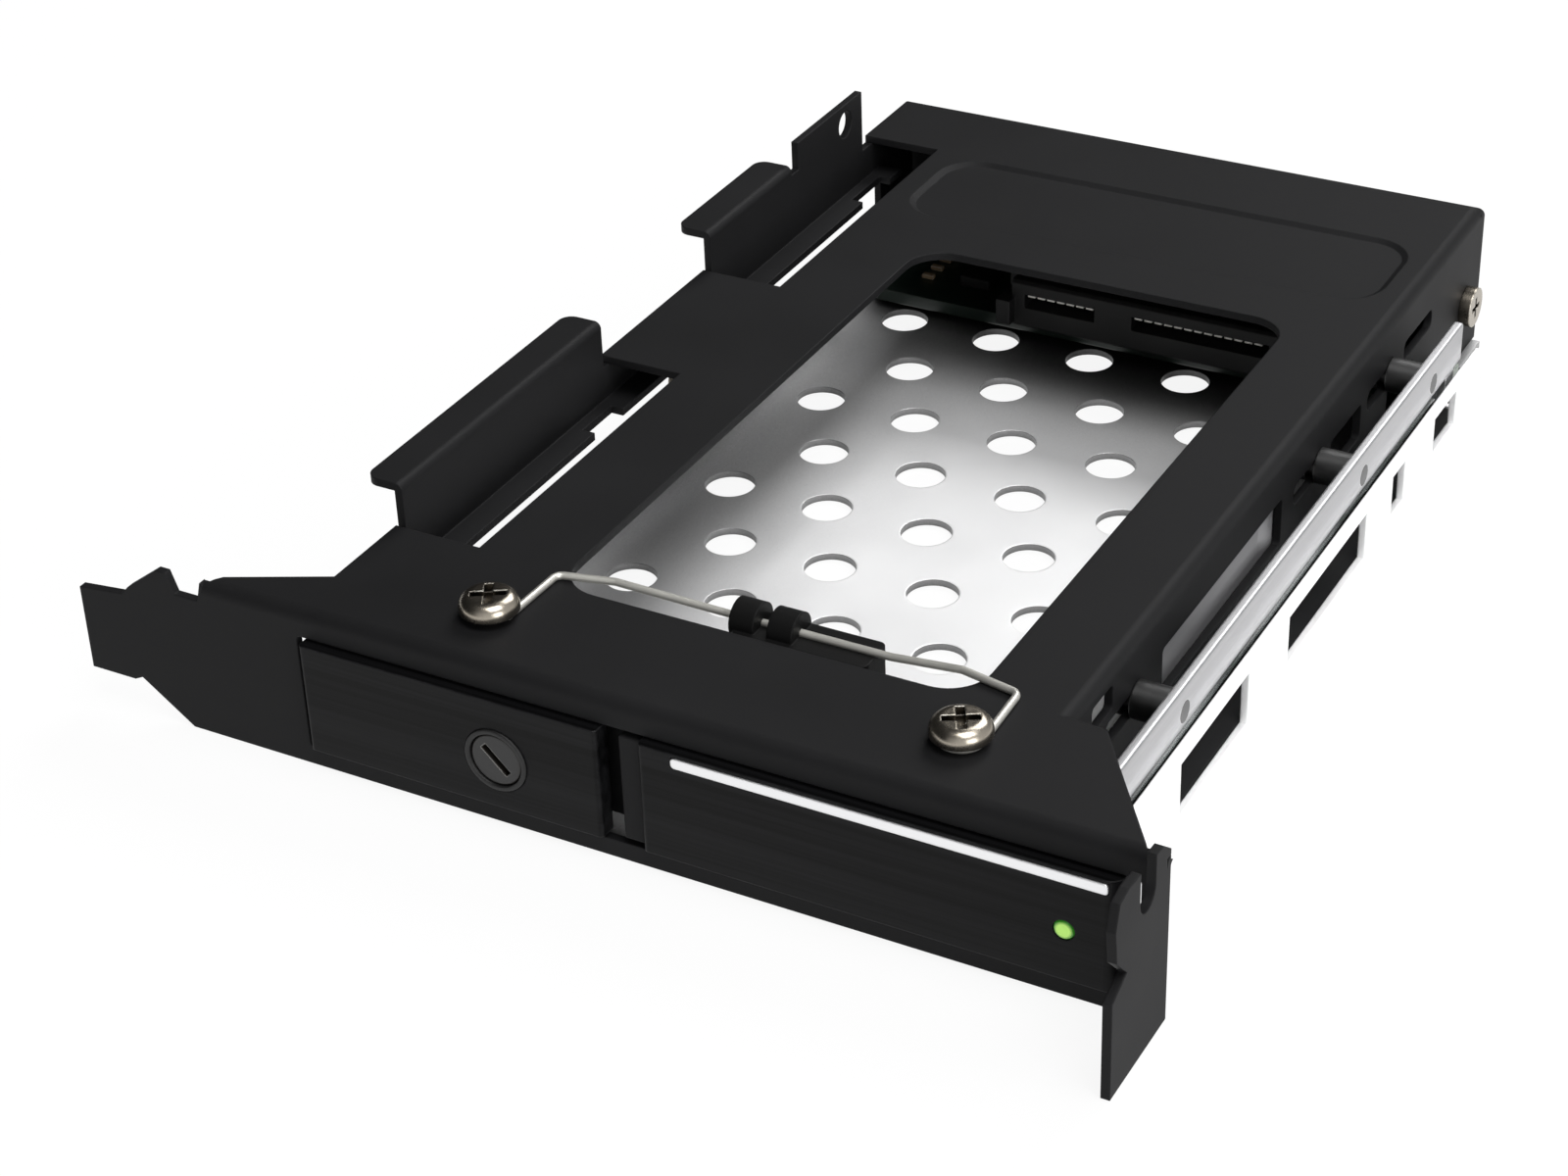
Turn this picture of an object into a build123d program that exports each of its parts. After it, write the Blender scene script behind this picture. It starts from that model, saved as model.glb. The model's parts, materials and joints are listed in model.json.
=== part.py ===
from build123d import *
import os

os.makedirs("parts", exist_ok=True)

# Slot bracket: the standard card bracket that the rack is folded from.
# X runs along the bracket, Y from the front panel to the rear, Z up.
bracket_length = 120.02
bracket_height = 18.42
sheet = 0.9
bend_radius = 1.4
tab_depth = 11.4
tab_rise = 2.0
tongue_reach = 11.0
tongue_height = 9.8
tongue_bottom = 3.9

# Body of the rack, set back from the outer face of the screw tab.
body_setback = 16.1
gusset_depth = 16.0
rear_depth = 26.0

# Drive that the bay holds, and the room left round it.
drive_width = 69.85
drive_length = 100.0
drive_height = 9.5
drive_start = 9.0
drive_gap = 0.3
guide_depth = 1.2
rail_foot_width = 3.8

# Perforated tray of bright steel.
tray_sheet = 0.8
tray_wall_height = 9.2
tray_wall_setback = 9.8
tray_wall_start = 10.0
tray_lip_height = 5.5
hole_pitch = 12.5
hole_diameter = 5.8

# Door, latch and lock.
door_proud = 1.0
door_thickness = 2.0
door_bottom = 2.6
door_top = 15.0
door_gap = 0.6
door_end_setback = 3.9
split_setback = 53.0
latch_gap = 4.5
latch_end_setback = 91.8
latch_travel = 1.8
pivot_setback = 6.4
pivot_depth = 2.6
pin_radius = 0.8
pin_clearance = 0.05
carrier_sheet = 1.2
carrier_depth = 2.9
lock_setback = 69.2
lock_height = 8.2
lock_radius = 2.9

# Ejection slider, moved by a crank on the door.
slider_sheet = 1.0
slider_setback = 11.0
slider_bottom = 9.6
slider_top = 16.0
crank_radius = 4.4
slider_front = 7.6
stud_radius = 1.2
stud_height = 11.4

# Board and connectors.
board_thickness = 1.6
board_lift = 1.0
connector_width = 37.3
connector_height = 6.6
connector_depth = 6.4

# Fasteners and wire.
screw_head_radius = 3.05
screw_head_height = 1.7
screw_radius = 1.5
small_screw_head_radius = 2.4
small_screw_head_height = 1.4
small_screw_radius = 1.0
wire_radius = 0.4
contact_gap = 0.05

# Places worked out from the sizes above.
drive_far = drive_start + drive_length
housing_depth = drive_far + rear_depth
body_width = drive_width + 2 * drive_gap + guide_depth + sheet + rail_foot_width
crank_half = 0.5 ** 0.5 * crank_radius
slider_travel = 2 * crank_half
stud_places = (31.0, drive_far - 28.5, drive_far - 6.0)
tray_wall_end = drive_far + 8.0
tab_x = bracket_length / 2
panel_y = (tab_depth - housing_depth) / 2
inner_y = panel_y + sheet
drive_end = panel_y + drive_far
back_y = panel_y + housing_depth
plate_under = bracket_height - sheet
body_right = tab_x - body_setback
body_left = body_right - body_width
bay_right = body_right - sheet - guide_depth
bay_left = bay_right - drive_width - 2 * drive_gap
pivot_x = tab_x - pivot_setback
pivot_y = panel_y + pivot_depth
door_back = panel_y - door_proud + door_thickness
carrier_y = panel_y + carrier_depth
tray_left = body_left + sheet
tray_right = tab_x - tray_wall_setback
floor_top = tray_sheet


def front_plane(y):
    """Plane facing the viewer: local x is X and local y is Z."""
    return Plane(origin=(0, y, 0), x_dir=(1, 0, 0), z_dir=(0, -1, 0))


def side_plane(x):
    """Plane facing the right side: local x is Y and local y is Z."""
    return Plane(origin=(x, 0, 0), x_dir=(0, 1, 0), z_dir=(1, 0, 0))


def rectangle(x_low, x_high, y_low, y_high, radius=0.0):
    """Rectangle between two corners, in the sketch that is open."""
    with Locations(((x_low + x_high) / 2, (y_low + y_high) / 2)):
        if radius > 0:
            RectangleRounded(x_high - x_low, y_high - y_low, radius)
        else:
            Rectangle(x_high - x_low, y_high - y_low)


def block(x_low, x_high, y_low, y_high, z_low, z_high, mode=Mode.ADD):
    """Box between two corners, in the part that is open."""
    middle = ((x_low + x_high) / 2, (y_low + y_high) / 2, (z_low + z_high) / 2)
    with Locations(middle):
        Box(x_high - x_low, y_high - y_low, z_high - z_low, mode=mode)


def save(part, name):
    """Label a finished piece and write its file."""
    part.label = name
    export_step(part, f"parts/{name}.step")


# Main frame: top plate, slot panel, tongue, screw tab, right and rear walls.
panel_left = tab_x - bracket_length + tongue_reach
relief_right = panel_left + 5.0
opening_left = tab_x - latch_end_setback - 0.8
opening_right = tab_x - 2.3
opening_bottom = door_bottom - door_gap
opening_top = door_top + 0.4
notch_radius = 1.7
notch_height = 17.4
notch_left = panel_y - 5.8
ledge_near = 20.0
ledge_far = drive_far + 6.0

window_left = bay_left + 16.9
window_right = bay_right - 7.8
window_front = panel_y + 15.07
window_back = drive_end - 11.9
window_radius = 4.5

margin_openings = ((17.8, 58.2), (drive_far - 27.8, drive_far + 13.3))
margin_width = 10.15
wall_openings = (
    (20.4, 25.3, 13.7, 16.6, 0.6),
    (37.5, 69.5, 7.5, 13.2, 0.6),
    (84.0, 93.5, 8.0, 12.4, 0.6),
    (drive_far - 1.5, drive_far + 8.0, 10.8, 13.2, 0.85),
    (drive_far - 6.7, drive_far + 1.9, 5.5, 9.6, 0.5),
    (drive_far + 6.0, drive_far + 14.0, 1.4, 6.4, 0.4),
)
rear_screw_place = housing_depth - 5.2
rear_screw_height = 7.5
data_socket_setback = 70.0
power_socket_setback = 40.0
data_socket_size = (16.0, 7.0)
power_socket_size = (24.0, 7.6)
socket_bottom = 3.4
socket_clearance = 0.4

recess_left = bay_left + 9.25
recess_right = bay_right - 1.3
recess_front = drive_end - 4.0
recess_back = drive_end + 12.5
recess_radius = 5.0
recess_depth = 0.4
recess_slope = 60

screw_places = ((tab_x - 74.4, panel_y + 7.6), (tab_x - 23.8, panel_y + 8.4))

with BuildPart() as chassis:
    # Slot panel with its tongue at the left end.
    with BuildSketch(front_plane(panel_y)):
        with BuildLine():
            Polyline(
                (tab_x, 0),
                (panel_left + 1.5, 0),
                (panel_left - 4.5, tongue_bottom + 0.5),
                (panel_left - 5.5, tongue_bottom),
                (-tab_x, tongue_bottom),
                (-tab_x, tongue_bottom + tongue_height),
                (panel_left - 5.5, tongue_bottom + tongue_height + 0.6),
                (panel_left - 4.5, 15.4),
                (panel_left - 0.5, bracket_height),
                (panel_left + 0.7, bracket_height),
                (panel_left + 1.5, plate_under - bend_radius),
                (relief_right - 0.6, plate_under - bend_radius),
                (relief_right, bracket_height),
                (tab_x, bracket_height),
                close=True,
            )
        make_face()
    extrude(amount=-sheet)
    with BuildSketch(front_plane(panel_y)):
        rectangle(opening_left, opening_right, opening_bottom, opening_top, 0.5)
    extrude(amount=-sheet, mode=Mode.SUBTRACT)
    # Top plate, with a gusset that narrows from the panel to the body.
    with BuildSketch(Plane.XY.offset(plate_under)):
        with BuildLine():
            Polyline(
                (relief_right, panel_y),
                (tab_x - 1.6, panel_y),
                (tab_x - 8.5, panel_y + 9.9),
                (tab_x - 12.5, panel_y + 15.7),
                (body_right, panel_y + gusset_depth),
                (body_right, back_y),
                (body_left, back_y),
                (body_left, panel_y + 6.9),
                (relief_right + 1.5, panel_y + 2.0),
                close=True,
            )
        make_face()
    extrude(amount=sheet)
    # Right and rear walls, folded down from the plate.
    block(body_right - sheet, body_right, panel_y + gusset_depth, back_y, floor_top, bracket_height)
    block(body_left, body_right, back_y - sheet, back_y, floor_top, bracket_height)
    # Ledge along the foot of the right wall, which rests on the tray.
    block(body_right - sheet, tray_right - tray_sheet - 0.1, panel_y + ledge_near,
          panel_y + ledge_far, floor_top, floor_top + sheet)
    # Screw tab, folded towards the viewer, with its notch and lower step.
    with BuildSketch(side_plane(tab_x)):
        with BuildLine():
            Polyline(
                (inner_y, 0),
                (panel_y - tab_depth, 0),
                (panel_y - tab_depth, 10.6),
                (panel_y - 8.3, 12.0),
                (panel_y - 10.6, 14.5),
                (panel_y - 11.0, bracket_height - 0.4),
                (panel_y - 10.2, bracket_height + tab_rise + 0.2),
                (panel_y - 8.3, bracket_height + tab_rise + 0.6),
                (notch_left, bracket_height + tab_rise + 0.4),
                (panel_y - 0.8, bracket_height + tab_rise),
                (inner_y, bracket_height + 0.6),
                close=True,
            )
        make_face()
        with BuildLine():
            Polyline(
                (notch_left, bracket_height + tab_rise + 1.0),
                (notch_left, notch_height),
                (notch_left + 2 * notch_radius, notch_height),
                (notch_left + 2 * notch_radius, bracket_height + tab_rise + 1.0),
                close=True,
            )
        make_face(mode=Mode.SUBTRACT)
        with Locations((notch_left + notch_radius, notch_height)):
            Circle(notch_radius, mode=Mode.SUBTRACT)
    extrude(amount=-sheet)
    # Bends: the outer corner is rounded off and the inner one filled.
    for corner, inward, along, length in (
        ((body_right, back_y, bracket_height), (-1, 0, 0), (0, -1, 0), housing_depth - gusset_depth),
        ((body_left, back_y, bracket_height), (0, -1, 0), (1, 0, 0), body_width),
        ((tab_x, panel_y, bracket_height), (0, 1, 0), (-1, 0, 0), tab_x - relief_right),
    ):
        with BuildSketch(Plane(origin=corner, x_dir=inward, z_dir=along)):
            rectangle(0, bend_radius, 0, bend_radius)
            with Locations((bend_radius, bend_radius)):
                Circle(bend_radius, mode=Mode.SUBTRACT)
        extrude(amount=length, mode=Mode.SUBTRACT)
        with BuildSketch(Plane(origin=corner, x_dir=inward, z_dir=along)):
            rectangle(sheet, bend_radius, sheet, bend_radius)
            with Locations((bend_radius, bend_radius)):
                Circle(bend_radius - sheet, mode=Mode.SUBTRACT)
        extrude(amount=length)
    # Window over the drive.
    with BuildSketch(Plane.XY.offset(plate_under - 1)):
        rectangle(window_left, window_right, window_front, window_back, window_radius)
    extrude(amount=sheet + 2, mode=Mode.SUBTRACT)
    # Openings in the left margin, where the side rail stands up.
    for near, far in margin_openings:
        block(body_left - 1, body_left + margin_width, panel_y + near, panel_y + far,
              plate_under - 1, bracket_height + 1, mode=Mode.SUBTRACT)
    # Openings in the right wall.
    with BuildSketch(side_plane(body_right + 1)):
        for near, far, low, high, radius in wall_openings:
            rectangle(panel_y + near, panel_y + far, low, high, radius)
        for place in stud_places:
            slot_middle = panel_y + place - slider_travel / 2
            with Locations((slot_middle, stud_height)):
                SlotCenterToCenter(slider_travel + 0.2, 2 * stud_radius + 0.2)
        with Locations((panel_y + rear_screw_place, rear_screw_height)):
            Circle(small_screw_radius + contact_gap)
    extrude(amount=-(sheet + 2), mode=Mode.SUBTRACT)
    # Cut-outs in the rear wall for the two sockets.
    with BuildSketch(front_plane(back_y + 1)):
        for setback, size in (
            (data_socket_setback, data_socket_size),
            (power_socket_setback, power_socket_size),
        ):
            rectangle(tab_x - setback - size[0] / 2 - socket_clearance,
                      tab_x - setback + size[0] / 2 + socket_clearance,
                      socket_bottom - socket_clearance,
                      socket_bottom + size[1] + socket_clearance, 0.5)
    extrude(amount=sheet + 2, mode=Mode.SUBTRACT)
    # Shallow recess with sloping sides, pressed down in the rear half of the plate.
    for recess_top, mode in ((bracket_height, Mode.SUBTRACT), (plate_under, Mode.ADD)):
        with BuildSketch(Plane(origin=(0, 0, recess_top), x_dir=(1, 0, 0), z_dir=(0, 0, -1))):
            rectangle(recess_left, recess_right, -recess_back, -recess_front, recess_radius)
        extrude(amount=recess_depth, taper=recess_slope, mode=mode)
    # Screw holes in the plate.
    for place in screw_places:
        with Locations((place[0], place[1], bracket_height)):
            Hole(screw_radius + contact_gap, depth=sheet + 0.5)
save(chassis.part, "chassis")

# Side rail under the left margin: a long angle with two lipped flanges, an ear
# with a screw hole, and two legs that stand on the tray.
rail_foot_z = 12.7
flange_top = 23.2
lip_reach = 3.6
lip_corner = 1.5
ear_top = 25.5
ear_hole_radius = 1.7
ear_hole_place = drive_far + 6.4
ear_hole_height = 22.9
leg_near = 73.0
leg_width = 7.0
leg_far = leg_near + leg_width
leg_screw_place = leg_near + leg_width / 2
leg_screw_height = 6.0
rail_near = 17.0
rail_far = drive_far + 15.5
rear_leg_far = housing_depth - 1.5
flange_one = (18.2, 57.2)
flange_two = (drive_far - 27.4, drive_far - 7.6)
ear = (drive_far - 5.8, drive_far + 10.8)
foot_notches = ((50.0, 56.0), (drive_far + 5.0, drive_far + 12.5))
notch_depth = 1.5

with BuildPart() as side_rail:
    with BuildSketch(side_plane(body_left + sheet)):
        rectangle(panel_y + rail_near, panel_y + rail_far, rail_foot_z, plate_under)
        for near, far in (flange_one, flange_two):
            rectangle(panel_y + near, panel_y + far, plate_under, flange_top)
        rectangle(panel_y + flange_two[1], panel_y + ear[1], plate_under, flange_top - 1.2)
        rectangle(panel_y + ear[0], panel_y + ear[1], plate_under, ear_top)
        rectangle(panel_y + leg_near, panel_y + leg_far, floor_top, rail_foot_z)
        rectangle(panel_y + rail_far, panel_y + rear_leg_far, floor_top, plate_under)
        with Locations((panel_y + ear_hole_place, ear_hole_height)):
            Circle(ear_hole_radius, mode=Mode.SUBTRACT)
        with Locations((panel_y + leg_screw_place, leg_screw_height)):
            Circle(small_screw_radius + contact_gap, mode=Mode.SUBTRACT)
    extrude(amount=-sheet)
    # Foot along the inside, left out over the leg.
    block(body_left, body_left + rail_foot_width, panel_y + rail_near, panel_y + leg_near - 1,
          rail_foot_z, rail_foot_z + sheet)
    block(body_left, body_left + rail_foot_width, panel_y + leg_far + 1, panel_y + rail_far,
          rail_foot_z, rail_foot_z + sheet)
    # The foot is cut back at the far end of each opening.
    for near, far in foot_notches:
        block(body_left + rail_foot_width - notch_depth, body_left + rail_foot_width + 1,
              panel_y + near, panel_y + far, rail_foot_z - 1, rail_foot_z + sheet + 1,
              mode=Mode.SUBTRACT)
    # Lips, folded outwards.
    for near, far in (flange_one, flange_two):
        block(body_left - lip_reach, body_left + sheet, panel_y + near, panel_y + far,
              flange_top - sheet, flange_top)
    lip_bends = (
        side_rail.edges().filter_by(Axis.Y)
        .filter_by_position(Axis.X, body_left + sheet - 0.01, body_left + sheet + 0.01)
        .filter_by_position(Axis.Z, flange_top - 0.01, flange_top + 0.01)
    )
    fillet(lip_bends, radius=sheet - 0.1)
    lip_corners = side_rail.edges().filter_by(Axis.Z).group_by(Axis.X)[0]
    fillet(lip_corners, radius=lip_corner)
    foot_bends = (
        side_rail.edges().filter_by(Axis.Y)
        .filter_by_position(Axis.X, body_left - 0.01, body_left + 0.01)
        .filter_by_position(Axis.Z, rail_foot_z - 0.01, rail_foot_z + 0.01)
    )
    fillet(foot_bends, radius=sheet - 0.1)
save(side_rail.part, "side_rail")

# Perforated tray: floor, low left lip, right wall with cut-outs and two ears.
tray_lip_x = bay_left - tray_sheet - contact_gap
cutouts = (
    (27.5, 45.0, 1.6, 7.8),
    (56.0, 78.8, 2.2, 7.9),
    (drive_far - 22.0, drive_far - 18.0, 3.0, 8.0),
    (drive_far - 8.3, drive_far - 0.8, 3.8, 8.2),
)
pad_radius = 2.6
board_front = drive_end + 2.7
board_back = back_y - sheet - 1.4
board_screw_places = ((bay_left + 6.0, board_back - 5.0), (bay_right - 6.0, board_back - 5.0))
row_pitch = 11.08
first_row = 10.1
hole_rows = int((drive_far + 2.0 - first_row) / row_pitch) + 1
hole_columns = int(drive_width / hole_pitch)
first_hole_x = bay_left + 7.75

with BuildPart() as drive_tray:
    block(tray_left, tray_right, inner_y, back_y - sheet, 0, tray_sheet)
    # Left lip beside the drive.
    block(tray_lip_x, tray_lip_x + tray_sheet, panel_y + 8, drive_end - 5.0, 0, tray_lip_height)
    # Right wall with its row of cut-outs.
    with BuildSketch(side_plane(tray_right)):
        rectangle(panel_y + tray_wall_start, panel_y + tray_wall_end, 0, tray_wall_height)
        for near, far, low, high in cutouts:
            with Locations((panel_y + (near + far) / 2, (low + high) / 2)):
                Rectangle(far - near, high - low, mode=Mode.SUBTRACT)
    extrude(amount=-tray_sheet)
    # The floor ends at the wall's length on the right.
    block(body_right + 1.0, tray_right + 1, panel_y + tray_wall_end, back_y, -1, tray_sheet + 1,
          mode=Mode.SUBTRACT)
    # Ears that take the side screws.
    block(body_right - sheet - tray_sheet, body_right - sheet, panel_y + rear_screw_place - 3.5,
          back_y - sheet, 0, rear_screw_height + 3.2)
    block(tray_left, tray_left + tray_sheet, panel_y + leg_near, panel_y + leg_far,
          0, leg_screw_height + 3.2)
    with Locations(Location((body_right, panel_y + rear_screw_place, rear_screw_height), (0, 90, 0))):
        Cylinder(small_screw_radius + contact_gap, 8, mode=Mode.SUBTRACT)
    with Locations(Location((body_left, panel_y + leg_screw_place, leg_screw_height), (0, 90, 0))):
        Cylinder(small_screw_radius + contact_gap, 8, mode=Mode.SUBTRACT)
    # Raised pads under the board.
    for place in board_screw_places:
        with Locations((place[0], place[1], tray_sheet)):
            Cylinder(pad_radius, board_lift, align=(Align.CENTER, Align.CENTER, Align.MIN))
            Cylinder(small_screw_radius + contact_gap, 8, mode=Mode.SUBTRACT)
    # Staggered round holes.
    with BuildSketch(Plane.XY.offset(-1)):
        for row in range(hole_rows):
            shift = 0 if row % 2 else hole_pitch / 2
            for column in range(hole_columns):
                with Locations((first_hole_x + shift + column * hole_pitch,
                                panel_y + first_row + row * row_pitch)):
                    Circle(hole_diameter / 2)
    extrude(amount=tray_sheet + 2, mode=Mode.SUBTRACT)
save(drive_tray.part, "drive_tray")

# Guide strip of spring steel on the inside of the right wall.
with BuildPart() as guide_strip:
    with BuildSketch(Plane.XY.offset(6.0)):
        with BuildLine():
            Polyline(
                (body_right - sheet, panel_y + 33.6),
                (body_right - sheet, panel_y + 37.0),
                (body_right - sheet - guide_depth + 0.5, panel_y + 41.0),
                (body_right - sheet - guide_depth + 0.5, panel_y + 67.0),
                (body_right - sheet, panel_y + 70.0),
                (body_right - sheet, panel_y + 71.8),
                (body_right - sheet - 0.4, panel_y + 71.8),
                (body_right - sheet - 0.4, panel_y + 70.2),
                (body_right - sheet - guide_depth + 0.1, panel_y + 67.4),
                (body_right - sheet - guide_depth + 0.1, panel_y + 40.6),
                (body_right - sheet - 0.4, panel_y + 37.0),
                (body_right - sheet - 0.4, panel_y + 33.6),
                close=True,
            )
        make_face()
    extrude(amount=7.6)
save(guide_strip.part, "guide_strip")

# Backplane board, standing on the tray's pads behind the drive.
board_bottom = tray_sheet + board_lift
board_top = board_bottom + board_thickness
board_left = bay_left + 1.5
board_right = bay_right - 1.0
led_arm_near = drive_end + 7.0
led_arm_far = drive_end + 13.0
led_arm_right = body_right + 3.2

with BuildPart() as backplane_board:
    block(board_left, board_right, board_front, board_back, board_bottom, board_top)
    block(board_right - 1, led_arm_right, led_arm_near, led_arm_far, board_bottom, board_top)
    for place in board_screw_places:
        with Locations((place[0], place[1], board_top)):
            Hole(small_screw_radius + contact_gap, depth=board_thickness + 0.5)
    front_corners = (
        backplane_board.edges().filter_by(Axis.Z).group_by(Axis.Y)[0]
    )
    chamfer(front_corners, length=1.5)
save(backplane_board.part, "backplane_board")

# Socket that the drive plugs into: one short and one long slot side by side.
connector_middle = tab_x - 48.6
connector_front = drive_end
connector_back = connector_front + connector_depth
signal_slot = (-15.6, -6.4)
power_slot = (-1.6, 15.8)
slot_low = board_top + 3.1
slot_high = board_top + 4.9

with BuildPart() as drive_connector:
    block(connector_middle - connector_width / 2, connector_middle + connector_width / 2,
          board_front, connector_back, board_top, board_top + connector_height)
    block(connector_middle - connector_width / 2 + 1.4, connector_middle + connector_width / 2 - 1.4,
          connector_front, board_front, board_top + 0.6, board_top + connector_height)
    for low, high in (signal_slot, power_slot):
        block(connector_middle + low, connector_middle + high,
              connector_front - 1, connector_front + 4.4, slot_low, slot_high, mode=Mode.SUBTRACT)
    # Guide horns at both ends.
    for side in (-1, 1):
        horn = connector_middle + side * (connector_width / 2 - 0.9)
        block(horn - 0.9, horn + 0.9, connector_front - 1.6, board_front,
              board_top + 1.2, board_top + 4.4)
    top_edges = drive_connector.edges().filter_by(Axis.X).group_by(Axis.Z)[-1]
    chamfer(top_edges, length=0.4)
save(drive_connector.part, "drive_connector")

# Spring contacts along the top of each slot.
contact_pitch = 1.27
contact_width = 0.6
contact_height = 0.4

with BuildPart() as drive_contacts:
    for low, count in ((signal_slot[0] + 0.8, 7), (power_slot[0] + 0.75, 13)):
        for number in range(count):
            contact_x = connector_middle + low + number * contact_pitch
            block(contact_x - contact_width / 2, contact_x + contact_width / 2,
                  connector_front + 0.3, connector_front + 4.3, slot_high - contact_height, slot_high)
save(drive_contacts.part, "drive_contacts")

# Rear sockets: a shell each, open to the rear, with a tongue inside.
socket_wall = 1.0
socket_depth = 12.0
socket_front = back_y - socket_depth


def socket_body(setback, size):
    """Shell of a rear socket with its tongue, as one solid."""
    middle = tab_x - setback
    with BuildPart() as shell:
        block(middle - size[0] / 2, middle + size[0] / 2, socket_front, back_y,
              socket_bottom, socket_bottom + size[1])
        block(middle - size[0] / 2 + socket_wall, middle + size[0] / 2 - socket_wall,
              socket_front + 2.5, back_y + 1, socket_bottom + socket_wall,
              socket_bottom + size[1] - socket_wall, mode=Mode.SUBTRACT)
        block(middle - size[0] / 2 + 2.6, middle + size[0] / 2 - 2.6,
              socket_front + 2.0, back_y - 2.0, socket_bottom + size[1] / 2 - 0.6,
              socket_bottom + size[1] / 2 + 0.6)
        mouth = shell.faces().sort_by(Axis.Y)[-1]
        chamfer(mouth.outer_wire().edges(), length=0.3)
    return shell.part


save(socket_body(data_socket_setback, data_socket_size), "data_socket")
save(socket_body(power_socket_setback, power_socket_size), "power_socket")

# Activity lamp on the board's arm, and the clear rod that carries its light forward.
lamp_x = body_right + 1.7
lamp_back = led_arm_near + 3.4
lamp_height = 2.0
rod_radius = 0.95
rod_x = lamp_x
rod_z = board_top + lamp_height / 2
rod_back = led_arm_near + 0.4
lens_x = tab_x - 9.2
lens_z = 8.2
rod_front_x = tab_x - 12.3
rod_front_y = panel_y + 8.4

with BuildPart() as status_lamp:
    block(lamp_x - 1.3, lamp_x + 1.3, rod_back + 0.3, lamp_back, board_top, board_top + lamp_height)
    lamp_edges = status_lamp.edges().filter_by(Axis.Z).group_by(Axis.Y)[0]
    fillet(lamp_edges, radius=0.5)
save(status_lamp.part, "status_lamp")

with BuildPart() as light_rod:
    with BuildLine():
        FilletPolyline(
            (rod_x, rod_back, rod_z),
            (rod_x, panel_y + 21.0, rod_z),
            (rod_front_x, panel_y + 12.0, lens_z),
            (rod_front_x, rod_front_y, lens_z),
            radius=3.0,
        )
    with BuildSketch(Plane(origin=(rod_x, rod_back, rod_z), x_dir=(1, 0, 0), z_dir=(0, -1, 0))):
        Circle(rod_radius)
    sweep()
save(light_rod.part, "light_rod")

# Hinge bracket behind the panel: two ears joined by walls round the door's end.
bracket_right = tab_x - 1.2
bracket_left = tab_x - 9.8
bracket_depth = 5.6
web_sheet = 0.8
ear_clearance = 0.3

with BuildPart() as hinge_bracket:
    block(opening_right, bracket_right, inner_y, inner_y + bracket_depth, floor_top, plate_under)
    block(bracket_left, bracket_right, inner_y, inner_y + bracket_depth,
          floor_top, door_bottom - ear_clearance)
    block(bracket_left, bracket_right, inner_y, inner_y + bracket_depth,
          door_top + ear_clearance, plate_under)
    # Web behind the end of the door, clear of the knuckles as they turn.
    block(pivot_x - 0.7, bracket_right, inner_y + bracket_depth - web_sheet,
          inner_y + bracket_depth, floor_top, plate_under)
    with Locations((pivot_x, pivot_y, plate_under)):
        Hole(pin_radius, depth=plate_under)
    bend_edge = (
        hinge_bracket.edges().filter_by(Axis.X)
        .filter_by_position(Axis.Y, inner_y - 0.01, inner_y + 0.01)
        .filter_by_position(Axis.Z, plate_under - 0.01, plate_under + 0.01)
    )
    chamfer(bend_edge, length=bend_radius - sheet)
save(hinge_bracket.part, "hinge_bracket")

with BuildPart() as hinge_pin:
    with Locations((pivot_x, pivot_y, floor_top)):
        Cylinder(pin_radius, plate_under - floor_top,
                 align=(Align.CENTER, Align.CENTER, Align.MIN))
    chamfer(hinge_pin.edges().filter_by(GeomType.CIRCLE), length=0.2)
save(hinge_pin.part, "hinge_pin")

# Door front: flat plate right of the split, rounded at its hinged end.
door_left = tab_x - split_setback
door_right = tab_x - door_end_setback
door_front = panel_y - door_proud
strip_left = tab_x - 49.3
strip_right = tab_x - 4.9
strip_low = 13.5
strip_high = 14.7
strip_depth = 0.5
strip_proud = 0.15
lens_radius = 1.05
fork_low = slider_bottom + 0.1
fork_high = fork_low + 1.6

with BuildPart() as door_front_plate:
    with BuildSketch(Plane.XY.offset(door_bottom)):
        rectangle(door_left, door_right, door_front, door_back)
    extrude(amount=door_top - door_bottom)
    end_edges = door_front_plate.edges().filter_by(Axis.Z).group_by(Axis.X)[-1].sort_by(Axis.Y)
    fillet(end_edges[0], radius=1.4)
    fillet(door_front_plate.edges().filter_by(Axis.Z).sort_by(Axis.X)[:1], radius=0.5)
    block(strip_left, strip_right, door_front - 1, door_front + strip_depth, strip_low, strip_high,
          mode=Mode.SUBTRACT)
    with Locations(Location((lens_x, door_front, lens_z), (90, 0, 0))):
        Cylinder(lens_radius + contact_gap, 6, mode=Mode.SUBTRACT)
save(door_front_plate.part, "door_front")

with BuildPart() as door_strip:
    block(strip_left + contact_gap, strip_right - contact_gap, door_front - strip_proud,
          door_front + strip_depth, strip_low + contact_gap, strip_high - contact_gap)
    strip_ends = door_strip.edges().filter_by(Axis.Y)
    fillet(strip_ends, radius=0.4)
save(door_strip.part, "door_strip")

with BuildPart() as lamp_lens:
    with Locations(Location((lens_x, door_back, lens_z), (90, 0, 0))):
        Cylinder(lens_radius, door_thickness + 0.1, align=(Align.CENTER, Align.CENTER, Align.MIN))
    fillet(lamp_lens.edges().filter_by(GeomType.CIRCLE).group_by(Axis.Y)[0], radius=0.35)
save(lamp_lens.part, "lamp_lens")

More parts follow.
